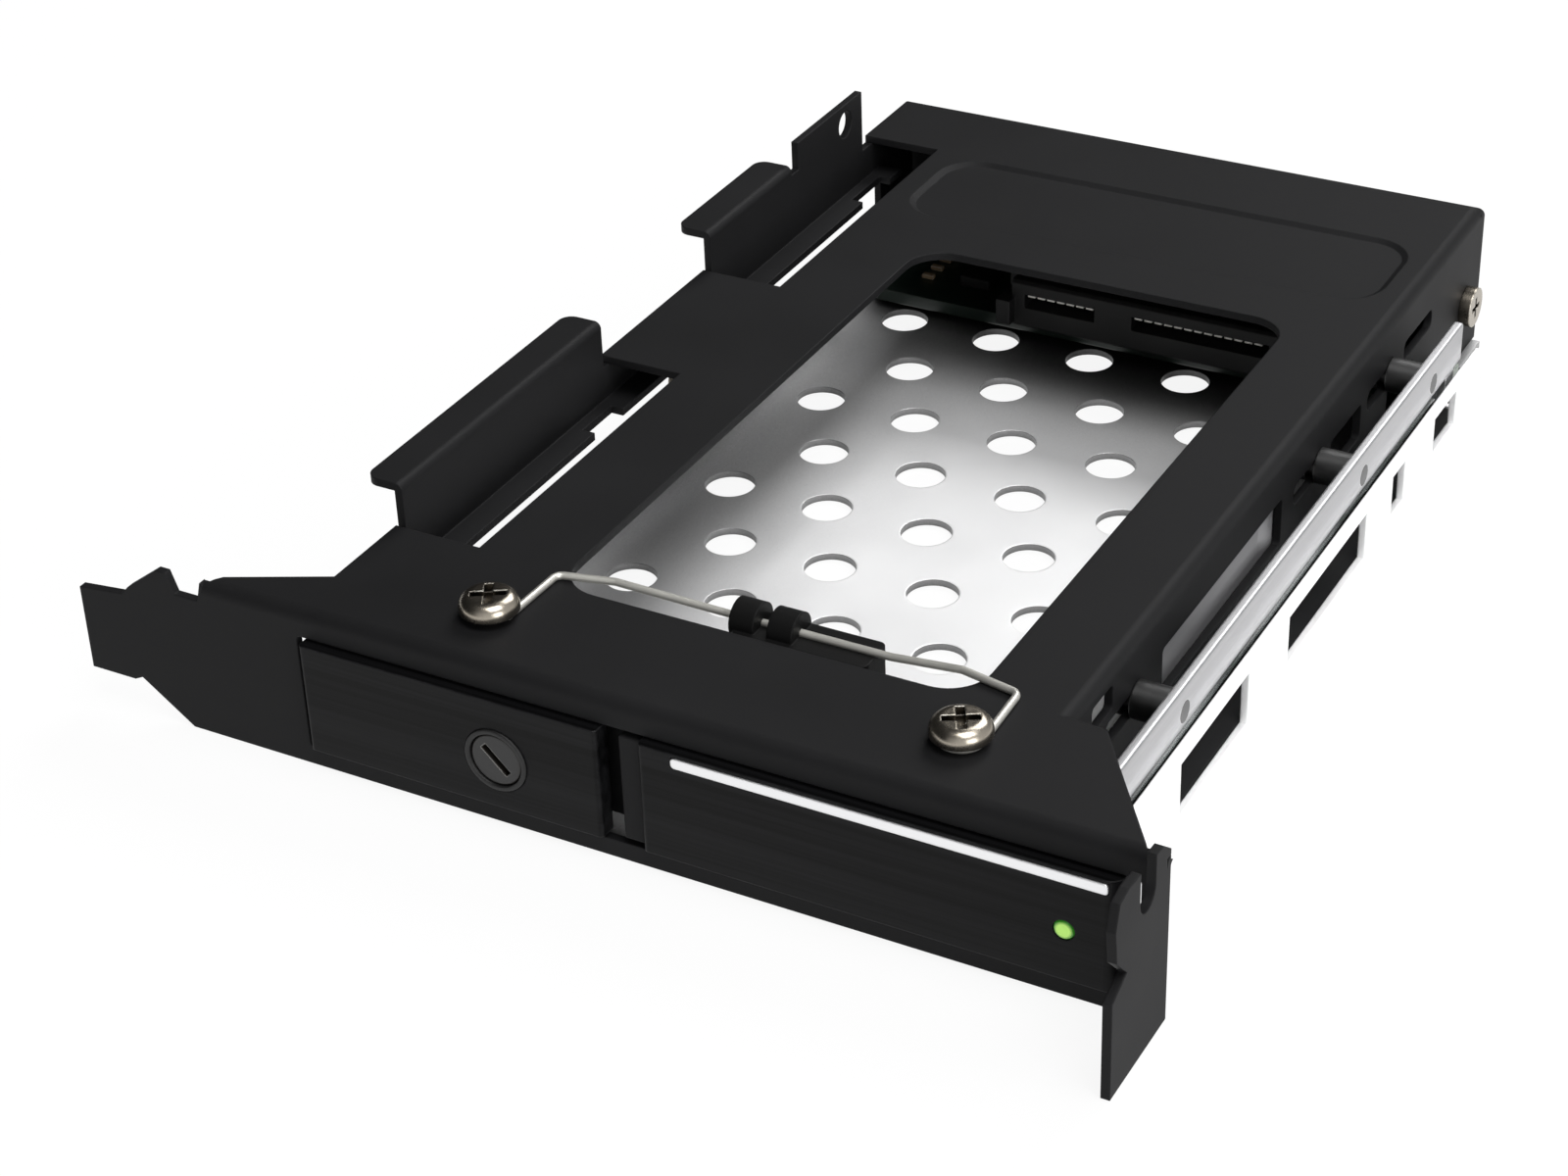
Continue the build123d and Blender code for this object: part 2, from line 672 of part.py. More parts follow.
# Door carrier: inner plate behind the whole front, with hinge knuckles and crank.
carrier_left = tab_x - 90.4
carrier_right = tab_x - 12.6
carrier_back = carrier_y + carrier_sheet
knuckle_radius = pivot_y - door_back - pin_clearance
crank_x = pivot_x - crank_half
crank_y = pivot_y + crank_half
arm_sheet = 1.1
door_screw_places = (tab_x - 46.0, tab_x - 20.0)
door_screw_height = 8.8
rib_left = door_left - 2.4
spring_pad_left = tab_x - 60.0
spring_z = 5.4
lock_x = tab_x - lock_setback
cam_length = 4.5
cam_window_half = cam_length + latch_travel + 0.3
cam_window_rise = cam_length + 0.2

with BuildPart() as door_carrier:
    block(carrier_left, carrier_right, carrier_y, carrier_back, door_bottom + 0.3, door_top - 0.3)
    # Pads that meet the back of the door front.
    for middle in door_screw_places:
        block(middle - 4, middle + 4, door_back, carrier_y, door_bottom + 0.3, door_top - 0.3)
    # Rib that fills the gap between the latch and the door front.
    block(rib_left, door_left - contact_gap, panel_y - 0.2, carrier_y, door_bottom + 0.3, door_top - 0.3)
    # Pad that the latch's spring pushes on.
    block(spring_pad_left, spring_pad_left + 1.2, door_back + 0.15, carrier_y,
          spring_z - 1.4, spring_z + 1.4)
    # Knuckles round the hinge pin, joined to the plate above and below the fork.
    for low, high in ((door_bottom + 0.1, fork_low - 0.4), (fork_high + 0.4, door_top - 0.1)):
        with Locations((pivot_x, pivot_y, low)):
            Cylinder(knuckle_radius, high - low, align=(Align.CENTER, Align.CENTER, Align.MIN))
        block(carrier_right - 1, pivot_x, carrier_y, carrier_back, low, high)
    # Crank arms that hold the link pin.
    for low in (fork_low - 0.4 - arm_sheet, fork_high + 0.4):
        arm_middle = ((pivot_x + crank_x) / 2, (pivot_y + crank_y) / 2, low + arm_sheet / 2)
        with Locations(Location(arm_middle, (0, 0, 135))):
            Box(crank_radius, 2 * knuckle_radius - 0.4, arm_sheet)
        with Locations((crank_x, crank_y, low + arm_sheet / 2)):
            Cylinder(knuckle_radius - 0.2, arm_sheet)
    # Room for the fork, the hinge pin, the link pin and the light.
    block(pivot_x - 7.5, pivot_x + knuckle_radius + 1, door_back, pivot_y + 8, fork_low - 0.4,
          fork_high + 0.4, mode=Mode.SUBTRACT)
    with Locations((pivot_x, pivot_y, 0)):
        Cylinder(pin_radius + pin_clearance, 60, mode=Mode.SUBTRACT)
    with Locations((crank_x, crank_y, 0)):
        Cylinder(pin_radius, 60, mode=Mode.SUBTRACT)
    for middle in door_screw_places:
        with Locations(Location((middle, carrier_y, door_screw_height), (90, 0, 0))):
            Cylinder(small_screw_radius + contact_gap, 12, mode=Mode.SUBTRACT)
    # Opening behind the lock.
    block(lock_x - cam_length - 0.7, lock_x + cam_window_half, carrier_y - 1, carrier_back + 1,
          lock_height - cam_window_rise, lock_height + cam_window_rise, mode=Mode.SUBTRACT)
save(door_carrier.part, "door_carrier")

with BuildPart() as link_pin:
    with Locations((crank_x, crank_y, fork_low - 0.4 - arm_sheet)):
        Cylinder(pin_radius, fork_high - fork_low + 0.8 + 2 * arm_sheet,
                 align=(Align.CENTER, Align.CENTER, Align.MIN))
save(link_pin.part, "link_pin")

with BuildPart() as door_screws:
    for middle in door_screw_places:
        with Locations(Location((middle, carrier_back, door_screw_height), (90, 0, 0))):
            Cylinder(small_screw_radius, carrier_back - door_back,
                     align=(Align.CENTER, Align.CENTER, Align.MIN))
            Cylinder(small_screw_head_radius - 0.6, 0.6,
                     align=(Align.CENTER, Align.CENTER, Align.MAX))
save(door_screws.part, "door_screws")

# Latch button: the left third of the front, which slides towards the split.
latch_left = tab_x - latch_end_setback
latch_right = door_left - latch_gap
nib_reach = 0.5
sleeve_radius = 3.5
sleeve_proud = 0.2
spring_stop_left = tab_x - 65.4
stop_sheet = 1.0

with BuildPart() as latch_button:
    block(latch_left, latch_right, door_front, door_back, door_bottom, door_top)
    fillet(latch_button.edges().filter_by(Axis.Z).group_by(Axis.Y)[0], radius=0.5)
    # Nib at the left end, which catches behind the edge of the opening.
    block(latch_left - nib_reach, latch_left + 1.5, panel_y + 0.1, panel_y + sheet - 0.1,
          lock_height - 1.2, lock_height + 1.2)
    # Stop on the back for the return spring.
    block(spring_stop_left, spring_stop_left + stop_sheet, door_back, carrier_y - 0.15,
          spring_z - 1.4, spring_z + 1.4)
    with Locations(Location((lock_x, door_front, lock_height), (90, 0, 0))):
        Cylinder(sleeve_radius + contact_gap, 6, mode=Mode.SUBTRACT)
save(latch_button.part, "latch_button")

with BuildPart() as lock_sleeve:
    with Locations(Location((lock_x, carrier_y - 0.2, lock_height), (90, 0, 0))):
        Cylinder(sleeve_radius, carrier_y - 0.2 - door_front + sleeve_proud,
                 align=(Align.CENTER, Align.CENTER, Align.MIN))
        Cylinder(lock_radius + contact_gap, 20, mode=Mode.SUBTRACT)
    rim = lock_sleeve.edges().filter_by(GeomType.CIRCLE).group_by(Axis.Y)[0]
    fillet(rim, radius=0.15)
save(lock_sleeve.part, "lock_sleeve")

# Lock cylinder with its slot, and the cam behind it.
cam_sheet = 1.0
cam_y = carrier_y + 0.1
cam_width = 3.2
cam_corner = 0.6
slot_width = 0.8
slot_length = 3.8
slot_depth = 0.9

with BuildPart() as lock_cylinder:
    with Locations(Location((lock_x, cam_y, lock_height), (90, 0, 0))):
        Cylinder(lock_radius, cam_y - door_front, align=(Align.CENTER, Align.CENTER, Align.MIN))
    fillet(lock_cylinder.edges().filter_by(GeomType.CIRCLE).group_by(Axis.Y)[0], radius=0.3)
    with Locations(Location((lock_x, door_front, lock_height), (0, 45, 0))):
        Box(slot_length, 2 * slot_depth, slot_width, mode=Mode.SUBTRACT)
save(lock_cylinder.part, "lock_cylinder")

with BuildPart() as lock_cam:
    with BuildSketch(front_plane(cam_y + cam_sheet)):
        with Locations((lock_x, lock_height)):
            Circle(lock_radius - 1.0)
        with Locations((lock_x, lock_height - cam_length / 2)):
            RectangleRounded(cam_width, cam_length, cam_corner)
    extrude(amount=cam_sheet)
save(lock_cam.part, "lock_cam")

# Return spring of the latch, between its stop and the carrier's pad.
coil_wire = 0.2
coil_radius = 0.65
coil_y = (door_back + carrier_y) / 2
coil_start = spring_stop_left + stop_sheet + coil_wire + contact_gap
coil_length = spring_pad_left - coil_wire - contact_gap - coil_start
coil_turns = 6

with BuildPart() as latch_spring:
    with BuildLine() as coil_path:
        Helix(pitch=coil_length / coil_turns, height=coil_length, radius=coil_radius,
              center=(coil_start, coil_y, spring_z), direction=(1, 0, 0))
    with BuildSketch(Plane(origin=coil_path.line @ 0, z_dir=coil_path.line % 0)):
        RegularPolygon(coil_wire, 5)
    sweep(is_frenet=True)
save(latch_spring.part, "latch_spring")

# Ejection slider: upright bar, fork at the front, hook behind the drive.
slider_x = tab_x - slider_setback
slider_start = panel_y + slider_front
slider_end = drive_end + 3.6
fork_sheet = 1.0
fork_z = (fork_low + fork_high - fork_sheet) / 2
fork_slot_half = pin_radius + 0.18
fork_wall = 0.9
hook_low = 5.9
hook_y = drive_end + 1.2
hook_reach = 24.0

with BuildPart() as eject_slider:
    block(slider_x - slider_sheet, slider_x, slider_start, slider_end, slider_bottom, slider_top)
    long_edges = (
        eject_slider.edges().filter_by(Axis.Y)
        .filter_by_position(Axis.X, slider_x - 0.01, slider_x + 0.01)
    )
    fillet(long_edges, radius=0.3)
    block(pivot_x - crank_radius - pin_radius - fork_wall - 0.6,
          pivot_x - crank_half + pin_radius + fork_wall + 0.2,
          crank_y - fork_slot_half - fork_wall, slider_start + 2, fork_z, fork_z + fork_sheet)
    block(pivot_x - crank_radius - pin_radius - 0.3, pivot_x - crank_half + pin_radius + 0.3,
          crank_y - fork_slot_half, crank_y + fork_slot_half, fork_z - 1, fork_z + fork_sheet + 1,
          mode=Mode.SUBTRACT)
    # Leg and hook at the rear.
    block(slider_x - slider_sheet, slider_x, hook_y - 2.6, hook_y, hook_low, slider_bottom + 1)
    block(tab_x - hook_reach, slider_x, hook_y - slider_sheet, hook_y, hook_low, slider_bottom - 0.4)
    for place in stud_places:
        with Locations(Location((slider_x, panel_y + place, stud_height), (0, 90, 0))):
            Cylinder(stud_radius, 6, mode=Mode.SUBTRACT)
save(eject_slider.part, "eject_slider")

# Studs riveted to the slider, which run in the slots of the right wall.
stud_head = 0.7
collar_radius = 2.0

with BuildPart() as slider_studs:
    for place in stud_places:
        with Locations(Location((slider_x, panel_y + place, stud_height), (0, -90, 0))):
            Cylinder(stud_radius, slider_x - body_right + sheet + contact_gap + stud_head,
                     align=(Align.CENTER, Align.CENTER, Align.MIN))
        with Locations(Location((slider_x - slider_sheet, panel_y + place, stud_height), (0, -90, 0))):
            Cylinder(collar_radius, slider_x - slider_sheet - body_right - contact_gap,
                     align=(Align.CENTER, Align.CENTER, Align.MIN))
        with Locations(Location((body_right - sheet - contact_gap, panel_y + place, stud_height),
                                (0, -90, 0))):
            Cylinder(collar_radius - 0.1, stud_head, align=(Align.CENTER, Align.CENTER, Align.MIN))
save(slider_studs.part, "slider_studs")

# Small screws at the side of the tray and on the board.
with BuildPart() as tray_screws:
    for face_x, place, height, angle in (
        (body_right, rear_screw_place, rear_screw_height, 90),
        (body_left, leg_screw_place, leg_screw_height, -90),
    ):
        with Locations(Location((face_x, panel_y + place, height), (0, angle, 0))):
            Cylinder(small_screw_head_radius, small_screw_head_height,
                     align=(Align.CENTER, Align.CENTER, Align.MIN))
            Cylinder(small_screw_radius, sheet + tray_sheet + 0.6,
                     align=(Align.CENTER, Align.CENTER, Align.MAX))
        with Locations(Location((face_x, panel_y + place, height), (0, angle, 0))):
            with Locations((0, 0, small_screw_head_height)):
                Box(0.6, 2.6, 1.2, mode=Mode.SUBTRACT)
                Box(2.6, 0.6, 1.2, mode=Mode.SUBTRACT)
save(tray_screws.part, "tray_screws")

with BuildPart() as board_screws:
    for place in board_screw_places:
        with Locations((place[0], place[1], board_top)):
            Cylinder(small_screw_head_radius - 0.4, small_screw_head_height,
                     align=(Align.CENTER, Align.CENTER, Align.MIN))
            Cylinder(small_screw_radius, board_top - 0.2,
                     align=(Align.CENTER, Align.CENTER, Align.MAX))
        with Locations((place[0], place[1], board_top + small_screw_head_height)):
            Box(0.6, 2.4, 1.2, mode=Mode.SUBTRACT)
            Box(2.4, 0.6, 1.2, mode=Mode.SUBTRACT)
save(board_screws.part, "board_screws")

# Two large screws on top that clamp the ends of the hold-down wire.
head_under = bracket_height + 2 * wire_radius + contact_gap
nut_height = 2.9
nut_radius = 2.7

with BuildPart() as cover_screws:
    for place in screw_places:
        with Locations((place[0], place[1], head_under)):
            Cylinder(screw_head_radius, screw_head_height,
                     align=(Align.CENTER, Align.CENTER, Align.MIN))
    top_rims = cover_screws.edges().filter_by(GeomType.CIRCLE).group_by(Axis.Z)[-1]
    fillet(top_rims, radius=1.3)
    for place in screw_places:
        with Locations((place[0], place[1], head_under)):
            Cylinder(screw_radius, head_under - plate_under + nut_height + 0.4,
                     align=(Align.CENTER, Align.CENTER, Align.MAX))
        with Locations(Location((place[0], place[1], head_under + screw_head_height), (0, 0, 30))):
            Box(0.9, 3.6, 2.0, mode=Mode.SUBTRACT)
            Box(3.6, 0.9, 2.0, mode=Mode.SUBTRACT)
save(cover_screws.part, "cover_screws")

with BuildPart() as press_nuts:
    for place in screw_places:
        with Locations((place[0], place[1], plate_under)):
            Cylinder(nut_radius, nut_height, align=(Align.CENTER, Align.CENTER, Align.MAX))
            Cylinder(screw_radius + 0.02, 20, mode=Mode.SUBTRACT)
save(press_nuts.part, "press_nuts")

# Hold-down wire: a ring under each screw, and two legs that meet in the pad.
ring_radius = 2.05
wire_z = bracket_height + wire_radius
left_screw = screw_places[0]
right_screw = screw_places[1]
pad_left = tab_x - 52.6
pad_right = tab_x - 37.4
pad_y = panel_y + 18.2
pad_wire_z = 18.2
wire_route = (
    (left_screw[0] + ring_radius, left_screw[1], wire_z),
    (left_screw[0] + ring_radius + 0.3, left_screw[1] + 8.6, wire_z),
    (tab_x - 66.1, pad_y - 0.6, wire_z),
    (pad_left - 1.5, pad_y, pad_wire_z),
    (pad_right + 1.5, pad_y, pad_wire_z),
    (tab_x - 28.5, pad_y + 0.1, wire_z),
    (right_screw[0] + ring_radius - 0.3, right_screw[1] + 8.6, wire_z),
    (right_screw[0] + ring_radius, right_screw[1], wire_z),
)

with BuildPart() as hold_down_wire:
    with BuildLine():
        FilletPolyline(*wire_route, radius=1.0)
    with BuildSketch(Plane(origin=wire_route[0], z_dir=Vector(*wire_route[1]) - Vector(*wire_route[0]))):
        Circle(wire_radius)
    sweep()
    for place in screw_places:
        with Locations((place[0], place[1], wire_z)):
            Torus(ring_radius, wire_radius)
save(hold_down_wire.part, "hold_down_wire")

# Moulded pad on the wire, which presses on the top of the drive.
pad_bottom = 12.8
pad_half_depth = 2.6
collar_places = (pad_left + 1.4, pad_left + 5.6)
pad_collar_radius = 2.1

with BuildPart() as hold_down_pad:
    block(pad_left + 0.4, pad_right, pad_y - pad_half_depth, pad_y + pad_half_depth - 0.4,
          pad_bottom, pad_wire_z - 0.2)
    fillet(hold_down_pad.edges().filter_by(Axis.Z), radius=0.8)
    for place in collar_places:
        with Locations(Location((place, pad_y, pad_wire_z), (0, 90, 0))):
            Cylinder(pad_collar_radius, 2.7)
    with Locations(Location(((pad_left + pad_right) / 2, pad_y, pad_wire_z), (0, 90, 0))):
        Cylinder(wire_radius + contact_gap, 30, mode=Mode.SUBTRACT)
save(hold_down_pad.part, "hold_down_pad")
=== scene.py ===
"""Looks for the expansion slot mobile rack: finishes, board parts, stage and camera."""

import json
import logging
import math
from dataclasses import dataclass, field
from enum import Enum

import bmesh
import bpy
from mathutils import Matrix, Quaternion, Vector

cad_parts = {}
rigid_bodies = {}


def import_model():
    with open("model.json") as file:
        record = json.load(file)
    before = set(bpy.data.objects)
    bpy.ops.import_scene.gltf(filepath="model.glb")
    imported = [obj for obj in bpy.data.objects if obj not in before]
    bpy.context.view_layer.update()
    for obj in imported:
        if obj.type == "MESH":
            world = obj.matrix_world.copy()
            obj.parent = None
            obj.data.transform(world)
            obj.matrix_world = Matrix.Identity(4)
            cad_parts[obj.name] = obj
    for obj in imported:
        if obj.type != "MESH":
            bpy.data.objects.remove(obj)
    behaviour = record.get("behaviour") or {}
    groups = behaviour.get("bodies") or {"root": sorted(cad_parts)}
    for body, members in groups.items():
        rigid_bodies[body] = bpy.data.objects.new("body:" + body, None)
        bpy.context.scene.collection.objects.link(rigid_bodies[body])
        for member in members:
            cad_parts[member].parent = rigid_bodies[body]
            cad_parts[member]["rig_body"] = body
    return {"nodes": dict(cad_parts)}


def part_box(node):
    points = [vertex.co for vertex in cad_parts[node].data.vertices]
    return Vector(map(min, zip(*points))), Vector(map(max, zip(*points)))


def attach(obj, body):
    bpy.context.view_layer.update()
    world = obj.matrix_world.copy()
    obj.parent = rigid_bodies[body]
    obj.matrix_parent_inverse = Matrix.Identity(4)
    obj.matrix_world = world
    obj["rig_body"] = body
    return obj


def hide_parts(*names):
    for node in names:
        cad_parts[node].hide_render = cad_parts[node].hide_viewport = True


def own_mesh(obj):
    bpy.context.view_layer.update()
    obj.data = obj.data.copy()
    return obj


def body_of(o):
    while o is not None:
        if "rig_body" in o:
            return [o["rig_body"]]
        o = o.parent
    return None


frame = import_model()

LOG = logging.getLogger("rack")
MM = 0.001
Colour = tuple[float, float, float]
# Painted shade: the colour that the tray's floor darkens to under the margins.
MARGIN_SHADE: Colour = (0.02, 0.02, 0.02)
# Painted shade: the colour that the recesses of screws and lock darken to.
RECESS_SHADE: Colour = (0.012, 0.009, 0.006)
WHITE: Colour = (1.0, 1.0, 1.0)


class Grain(Enum):
    """Direction that a brushed surface's lines run along."""

    ALONG_X = (6.0, 900.0, 900.0)
    ALONG_Y = (900.0, 6.0, 900.0)
    ROUND = (500.0, 500.0, 500.0)


class Tree:
    """A node tree, with short calls to add nodes and join them."""

    def __init__(self, tree: bpy.types.NodeTree) -> None:
        """Wraps a node tree.

        Args:
            tree: the tree of a material, a world or a group.
        """
        self.tree = tree

    def add(self, kind: str, **values: object) -> bpy.types.Node:
        """Adds a node.

        Args:
            kind: the node's type name, without the ShaderNode prefix.
            values: attributes of the node, or with a leading "in_" inputs by name.

        Returns:
            The new node.
        """
        name = kind if kind.startswith("Node") else "ShaderNode" + kind
        node = self.tree.nodes.new(name)
        for key, value in values.items():
            if key.startswith("in_"):
                node.inputs[key[3:].replace("_", " ")].default_value = value
            else:
                setattr(node, key, value)
        return node

    def join(self, source: bpy.types.NodeSocket, target: bpy.types.NodeSocket) -> None:
        """Links an output socket to an input socket."""
        self.tree.links.new(source, target)

    def math(self, operation: str, first: object, second: object = None,
             clamp: bool = False) -> bpy.types.NodeSocket:
        """Adds a Math node.

        Args:
            operation: the node's operation.
            first: a socket or a number.
            second: a socket or a number, where the operation takes two.
            clamp: whether the result is kept between 0 and 1.

        Returns:
            The node's output socket.
        """
        node = self.add("Math", operation=operation, use_clamp=clamp)
        for slot, value in zip(node.inputs, (first, second)):
            if isinstance(value, bpy.types.NodeSocket):
                self.join(value, slot)
            elif value is not None:
                slot.default_value = value
        return node.outputs[0]

    def mix(self, amount: object, first: object, second: object) -> bpy.types.NodeSocket:
        """Mixes two colours.

        Args:
            amount: a socket or a number, 0 for the first colour and 1 for the second.
            first: a socket or a colour.
            second: a socket or a colour.

        Returns:
            The mixed colour's socket.
        """
        node = self.add("Mix", data_type="RGBA")
        for index, value in ((0, amount), (6, first), (7, second)):
            if isinstance(value, bpy.types.NodeSocket):
                self.join(value, node.inputs[index])
            elif index == 0:
                node.inputs[0].default_value = value
            else:
                node.inputs[index].default_value = (*value, 1.0)
        return node.outputs[2]


class EffectLibrary:
    """Node groups that several finishes share, each built once."""

    def __init__(self) -> None:
        """Starts with no group built."""
        self.built: dict[str, bpy.types.NodeTree] = {}

    def _new(self, name: str, inputs: dict[str, float],
             outputs: dict[str, str]) -> tuple[Tree, bpy.types.Node, bpy.types.Node]:
        """Makes an empty group.

        Args:
            name: the group's name.
            inputs: number inputs and their defaults.
            outputs: output names and their socket types.

        Returns:
            The tree, its input node and its output node.
        """
        group = bpy.data.node_groups.new(name, "ShaderNodeTree")
        for label, value in inputs.items():
            socket = group.interface.new_socket(label, in_out="INPUT", socket_type="NodeSocketFloat")
            socket.default_value = value
        for label, kind in outputs.items():
            group.interface.new_socket(label, in_out="OUTPUT", socket_type=kind)
        tree = Tree(group)
        start = tree.add("NodeGroupInput")
        end = tree.add("NodeGroupOutput")
        self.built[name] = group
        return tree, start, end

    def edge_wear_and_highlight(self) -> bpy.types.NodeTree:
        """Group that finds the edges of a piece and gives a softened normal."""
        if "edge_wear_and_highlight" in self.built:
            return self.built["edge_wear_and_highlight"]
        patch_scale, patch_level = 420.0, 0.52
        tree, start, end = self._new(
            "edge_wear_and_highlight", {"Radius": 0.0003, "Gain": 6.0, "Breakup": 0.5},
            {"Mask": "NodeSocketFloat", "Normal": "NodeSocketVector"},
        )
        bevel = tree.add("Bevel", samples=6)
        tree.join(start.outputs["Radius"], bevel.inputs["Radius"])
        geometry = tree.add("NewGeometry")
        dot = tree.add("VectorMath", operation="DOT_PRODUCT")
        tree.join(bevel.outputs["Normal"], dot.inputs[0])
        tree.join(geometry.outputs["Normal"], dot.inputs[1])
        bend = tree.math("SUBTRACT", 1.0, dot.outputs["Value"])
        gained = tree.math("MULTIPLY", bend, start.outputs["Gain"], clamp=True)
        place = tree.add("TexCoord")
        noise = tree.add("TexNoise", in_Scale=patch_scale, in_Detail=3.0)
        tree.join(place.outputs["Object"], noise.inputs["Vector"])
        patch = tree.math("GREATER_THAN", noise.outputs["Fac"], patch_level)
        kept = tree.math("SUBTRACT", 1.0, tree.math("MULTIPLY", patch, start.outputs["Breakup"]))
        tree.join(tree.math("MULTIPLY", gained, kept), end.inputs["Mask"])
        tree.join(bevel.outputs["Normal"], end.inputs["Normal"])
        return self.built["edge_wear_and_highlight"]

    def fine_grain(self) -> bpy.types.NodeTree:
        """Group for the fine pebbled texture of paint and of moulded plastic."""
        if "fine_grain" in self.built:
            return self.built["fine_grain"]
        tree, start, end = self._new(
            "fine_grain", {"Scale": 2200.0, "Soft Scale": 60.0},
            {"Height": "NodeSocketFloat", "Tone": "NodeSocketFloat"},
        )
        place = tree.add("TexCoord")
        fine = tree.add("TexNoise", in_Detail=4.0, in_Roughness=0.6)
        soft = tree.add("TexNoise", in_Detail=3.0, in_Roughness=0.55)
        for node, label in ((fine, "Scale"), (soft, "Soft Scale")):
            tree.join(place.outputs["Object"], node.inputs["Vector"])
            tree.join(start.outputs[label], node.inputs["Scale"])
        tree.join(fine.outputs["Fac"], end.inputs["Height"])
        tree.join(soft.outputs["Fac"], end.inputs["Tone"])
        return self.built["fine_grain"]

    def brushing(self) -> bpy.types.NodeTree:
        """Group for the straight lines of a brushed or rolled surface."""
        if "brushing" in self.built:
            return self.built["brushing"]
        broad_scale, line_share = 0.22, 0.6
        tree, start, end = self._new(
            "brushing", {"X": 6.0, "Y": 900.0, "Z": 900.0},
            {"Height": "NodeSocketFloat", "Tone": "NodeSocketFloat"},
        )
        place = tree.add("TexCoord")
        stretch = tree.add("CombineXYZ")
        for label in ("X", "Y", "Z"):
            tree.join(start.outputs[label], stretch.inputs[label])
        scaled = tree.add("VectorMath", operation="MULTIPLY")
        tree.join(place.outputs["Object"], scaled.inputs[0])
        tree.join(stretch.outputs[0], scaled.inputs[1])
        lines = tree.add("TexNoise", in_Scale=1.0, in_Detail=5.0, in_Roughness=0.65)
        broad = tree.add("TexNoise", in_Scale=broad_scale, in_Detail=2.0)
        for node in (lines, broad):
            tree.join(scaled.outputs[0], node.inputs["Vector"])
        tree.join(lines.outputs["Fac"], end.inputs["Height"])
        both = tree.math("ADD", tree.math("MULTIPLY", lines.outputs["Fac"], line_share),
                         tree.math("MULTIPLY", broad.outputs["Fac"], 1.0 - line_share))
        tree.join(both, end.inputs["Tone"])
        return self.built["brushing"]

    def hollow_shade(self) -> bpy.types.NodeTree:
        """Group that finds recesses and inner corners, where shade is painted."""
        if "hollow_shade" in self.built:
            return self.built["hollow_shade"]
        tree, start, end = self._new(
            "hollow_shade", {"Reach": 0.0012, "Gain": 1.4}, {"Mask": "NodeSocketFloat"},
        )
        open_share = tree.add("AmbientOcclusion", samples=8)
        tree.join(start.outputs["Reach"], open_share.inputs["Distance"])
        closed = tree.math("SUBTRACT", 1.0, open_share.outputs["AO"])
        tree.join(tree.math("MULTIPLY", closed, start.outputs["Gain"], clamp=True),
                  end.inputs["Mask"])
        return self.built["hollow_shade"]


@dataclass(frozen=True)
class Finish:
    """What every finish has: a name, a colour and a roughness."""

    name: str
    colour: Colour
    roughness: float
    metallic: float = 0.0
    specular: float = 0.5
    edge_radius: float = 0.00025
    edge_colour: Colour = (0.05, 0.05, 0.05)
    edge_gain: float = 0.0
    gloss_swing: float = 0.16
    relief_strength: float = 0.6

    def start(self, effects: EffectLibrary) -> tuple[bpy.types.Material, Tree, bpy.types.Node,
                                                      bpy.types.Node]:
        """Makes the material with its shader and its edge mask.

        Args:
            effects: the shared node groups.

        Returns:
            The material, its tree, the shader node and the edge group's node.
        """
        material = bpy.data.materials.new(self.name)
        material.use_nodes = True
        tree = Tree(material.node_tree)
        shader = material.node_tree.nodes["Principled BSDF"]
        shader.inputs["Metallic"].default_value = self.metallic
        shader.inputs["Specular IOR Level"].default_value = self.specular
        shader.inputs["Roughness"].default_value = self.roughness
        edge = tree.add("Group", node_tree=effects.edge_wear_and_highlight())
        edge.inputs["Radius"].default_value = self.edge_radius
        edge.inputs["Gain"].default_value = self.edge_gain
        return material, tree, shader, edge

    def relief(self, tree: Tree, shader: bpy.types.Node, height: bpy.types.NodeSocket,
               normal: bpy.types.NodeSocket, distance: float) -> None:
        """Puts a bump over the softened normal.

        Args:
            tree: the material's tree.
            shader: the shader whose normal it feeds.
            height: the height socket.
            normal: the softened normal.
            distance: the bump's depth in metres.
        """
        bump = tree.add("Bump", in_Strength=self.relief_strength, in_Distance=distance)
        tree.join(height, bump.inputs["Height"])
        tree.join(normal, bump.inputs["Normal"])
        tree.join(bump.outputs["Normal"], shader.inputs["Normal"])


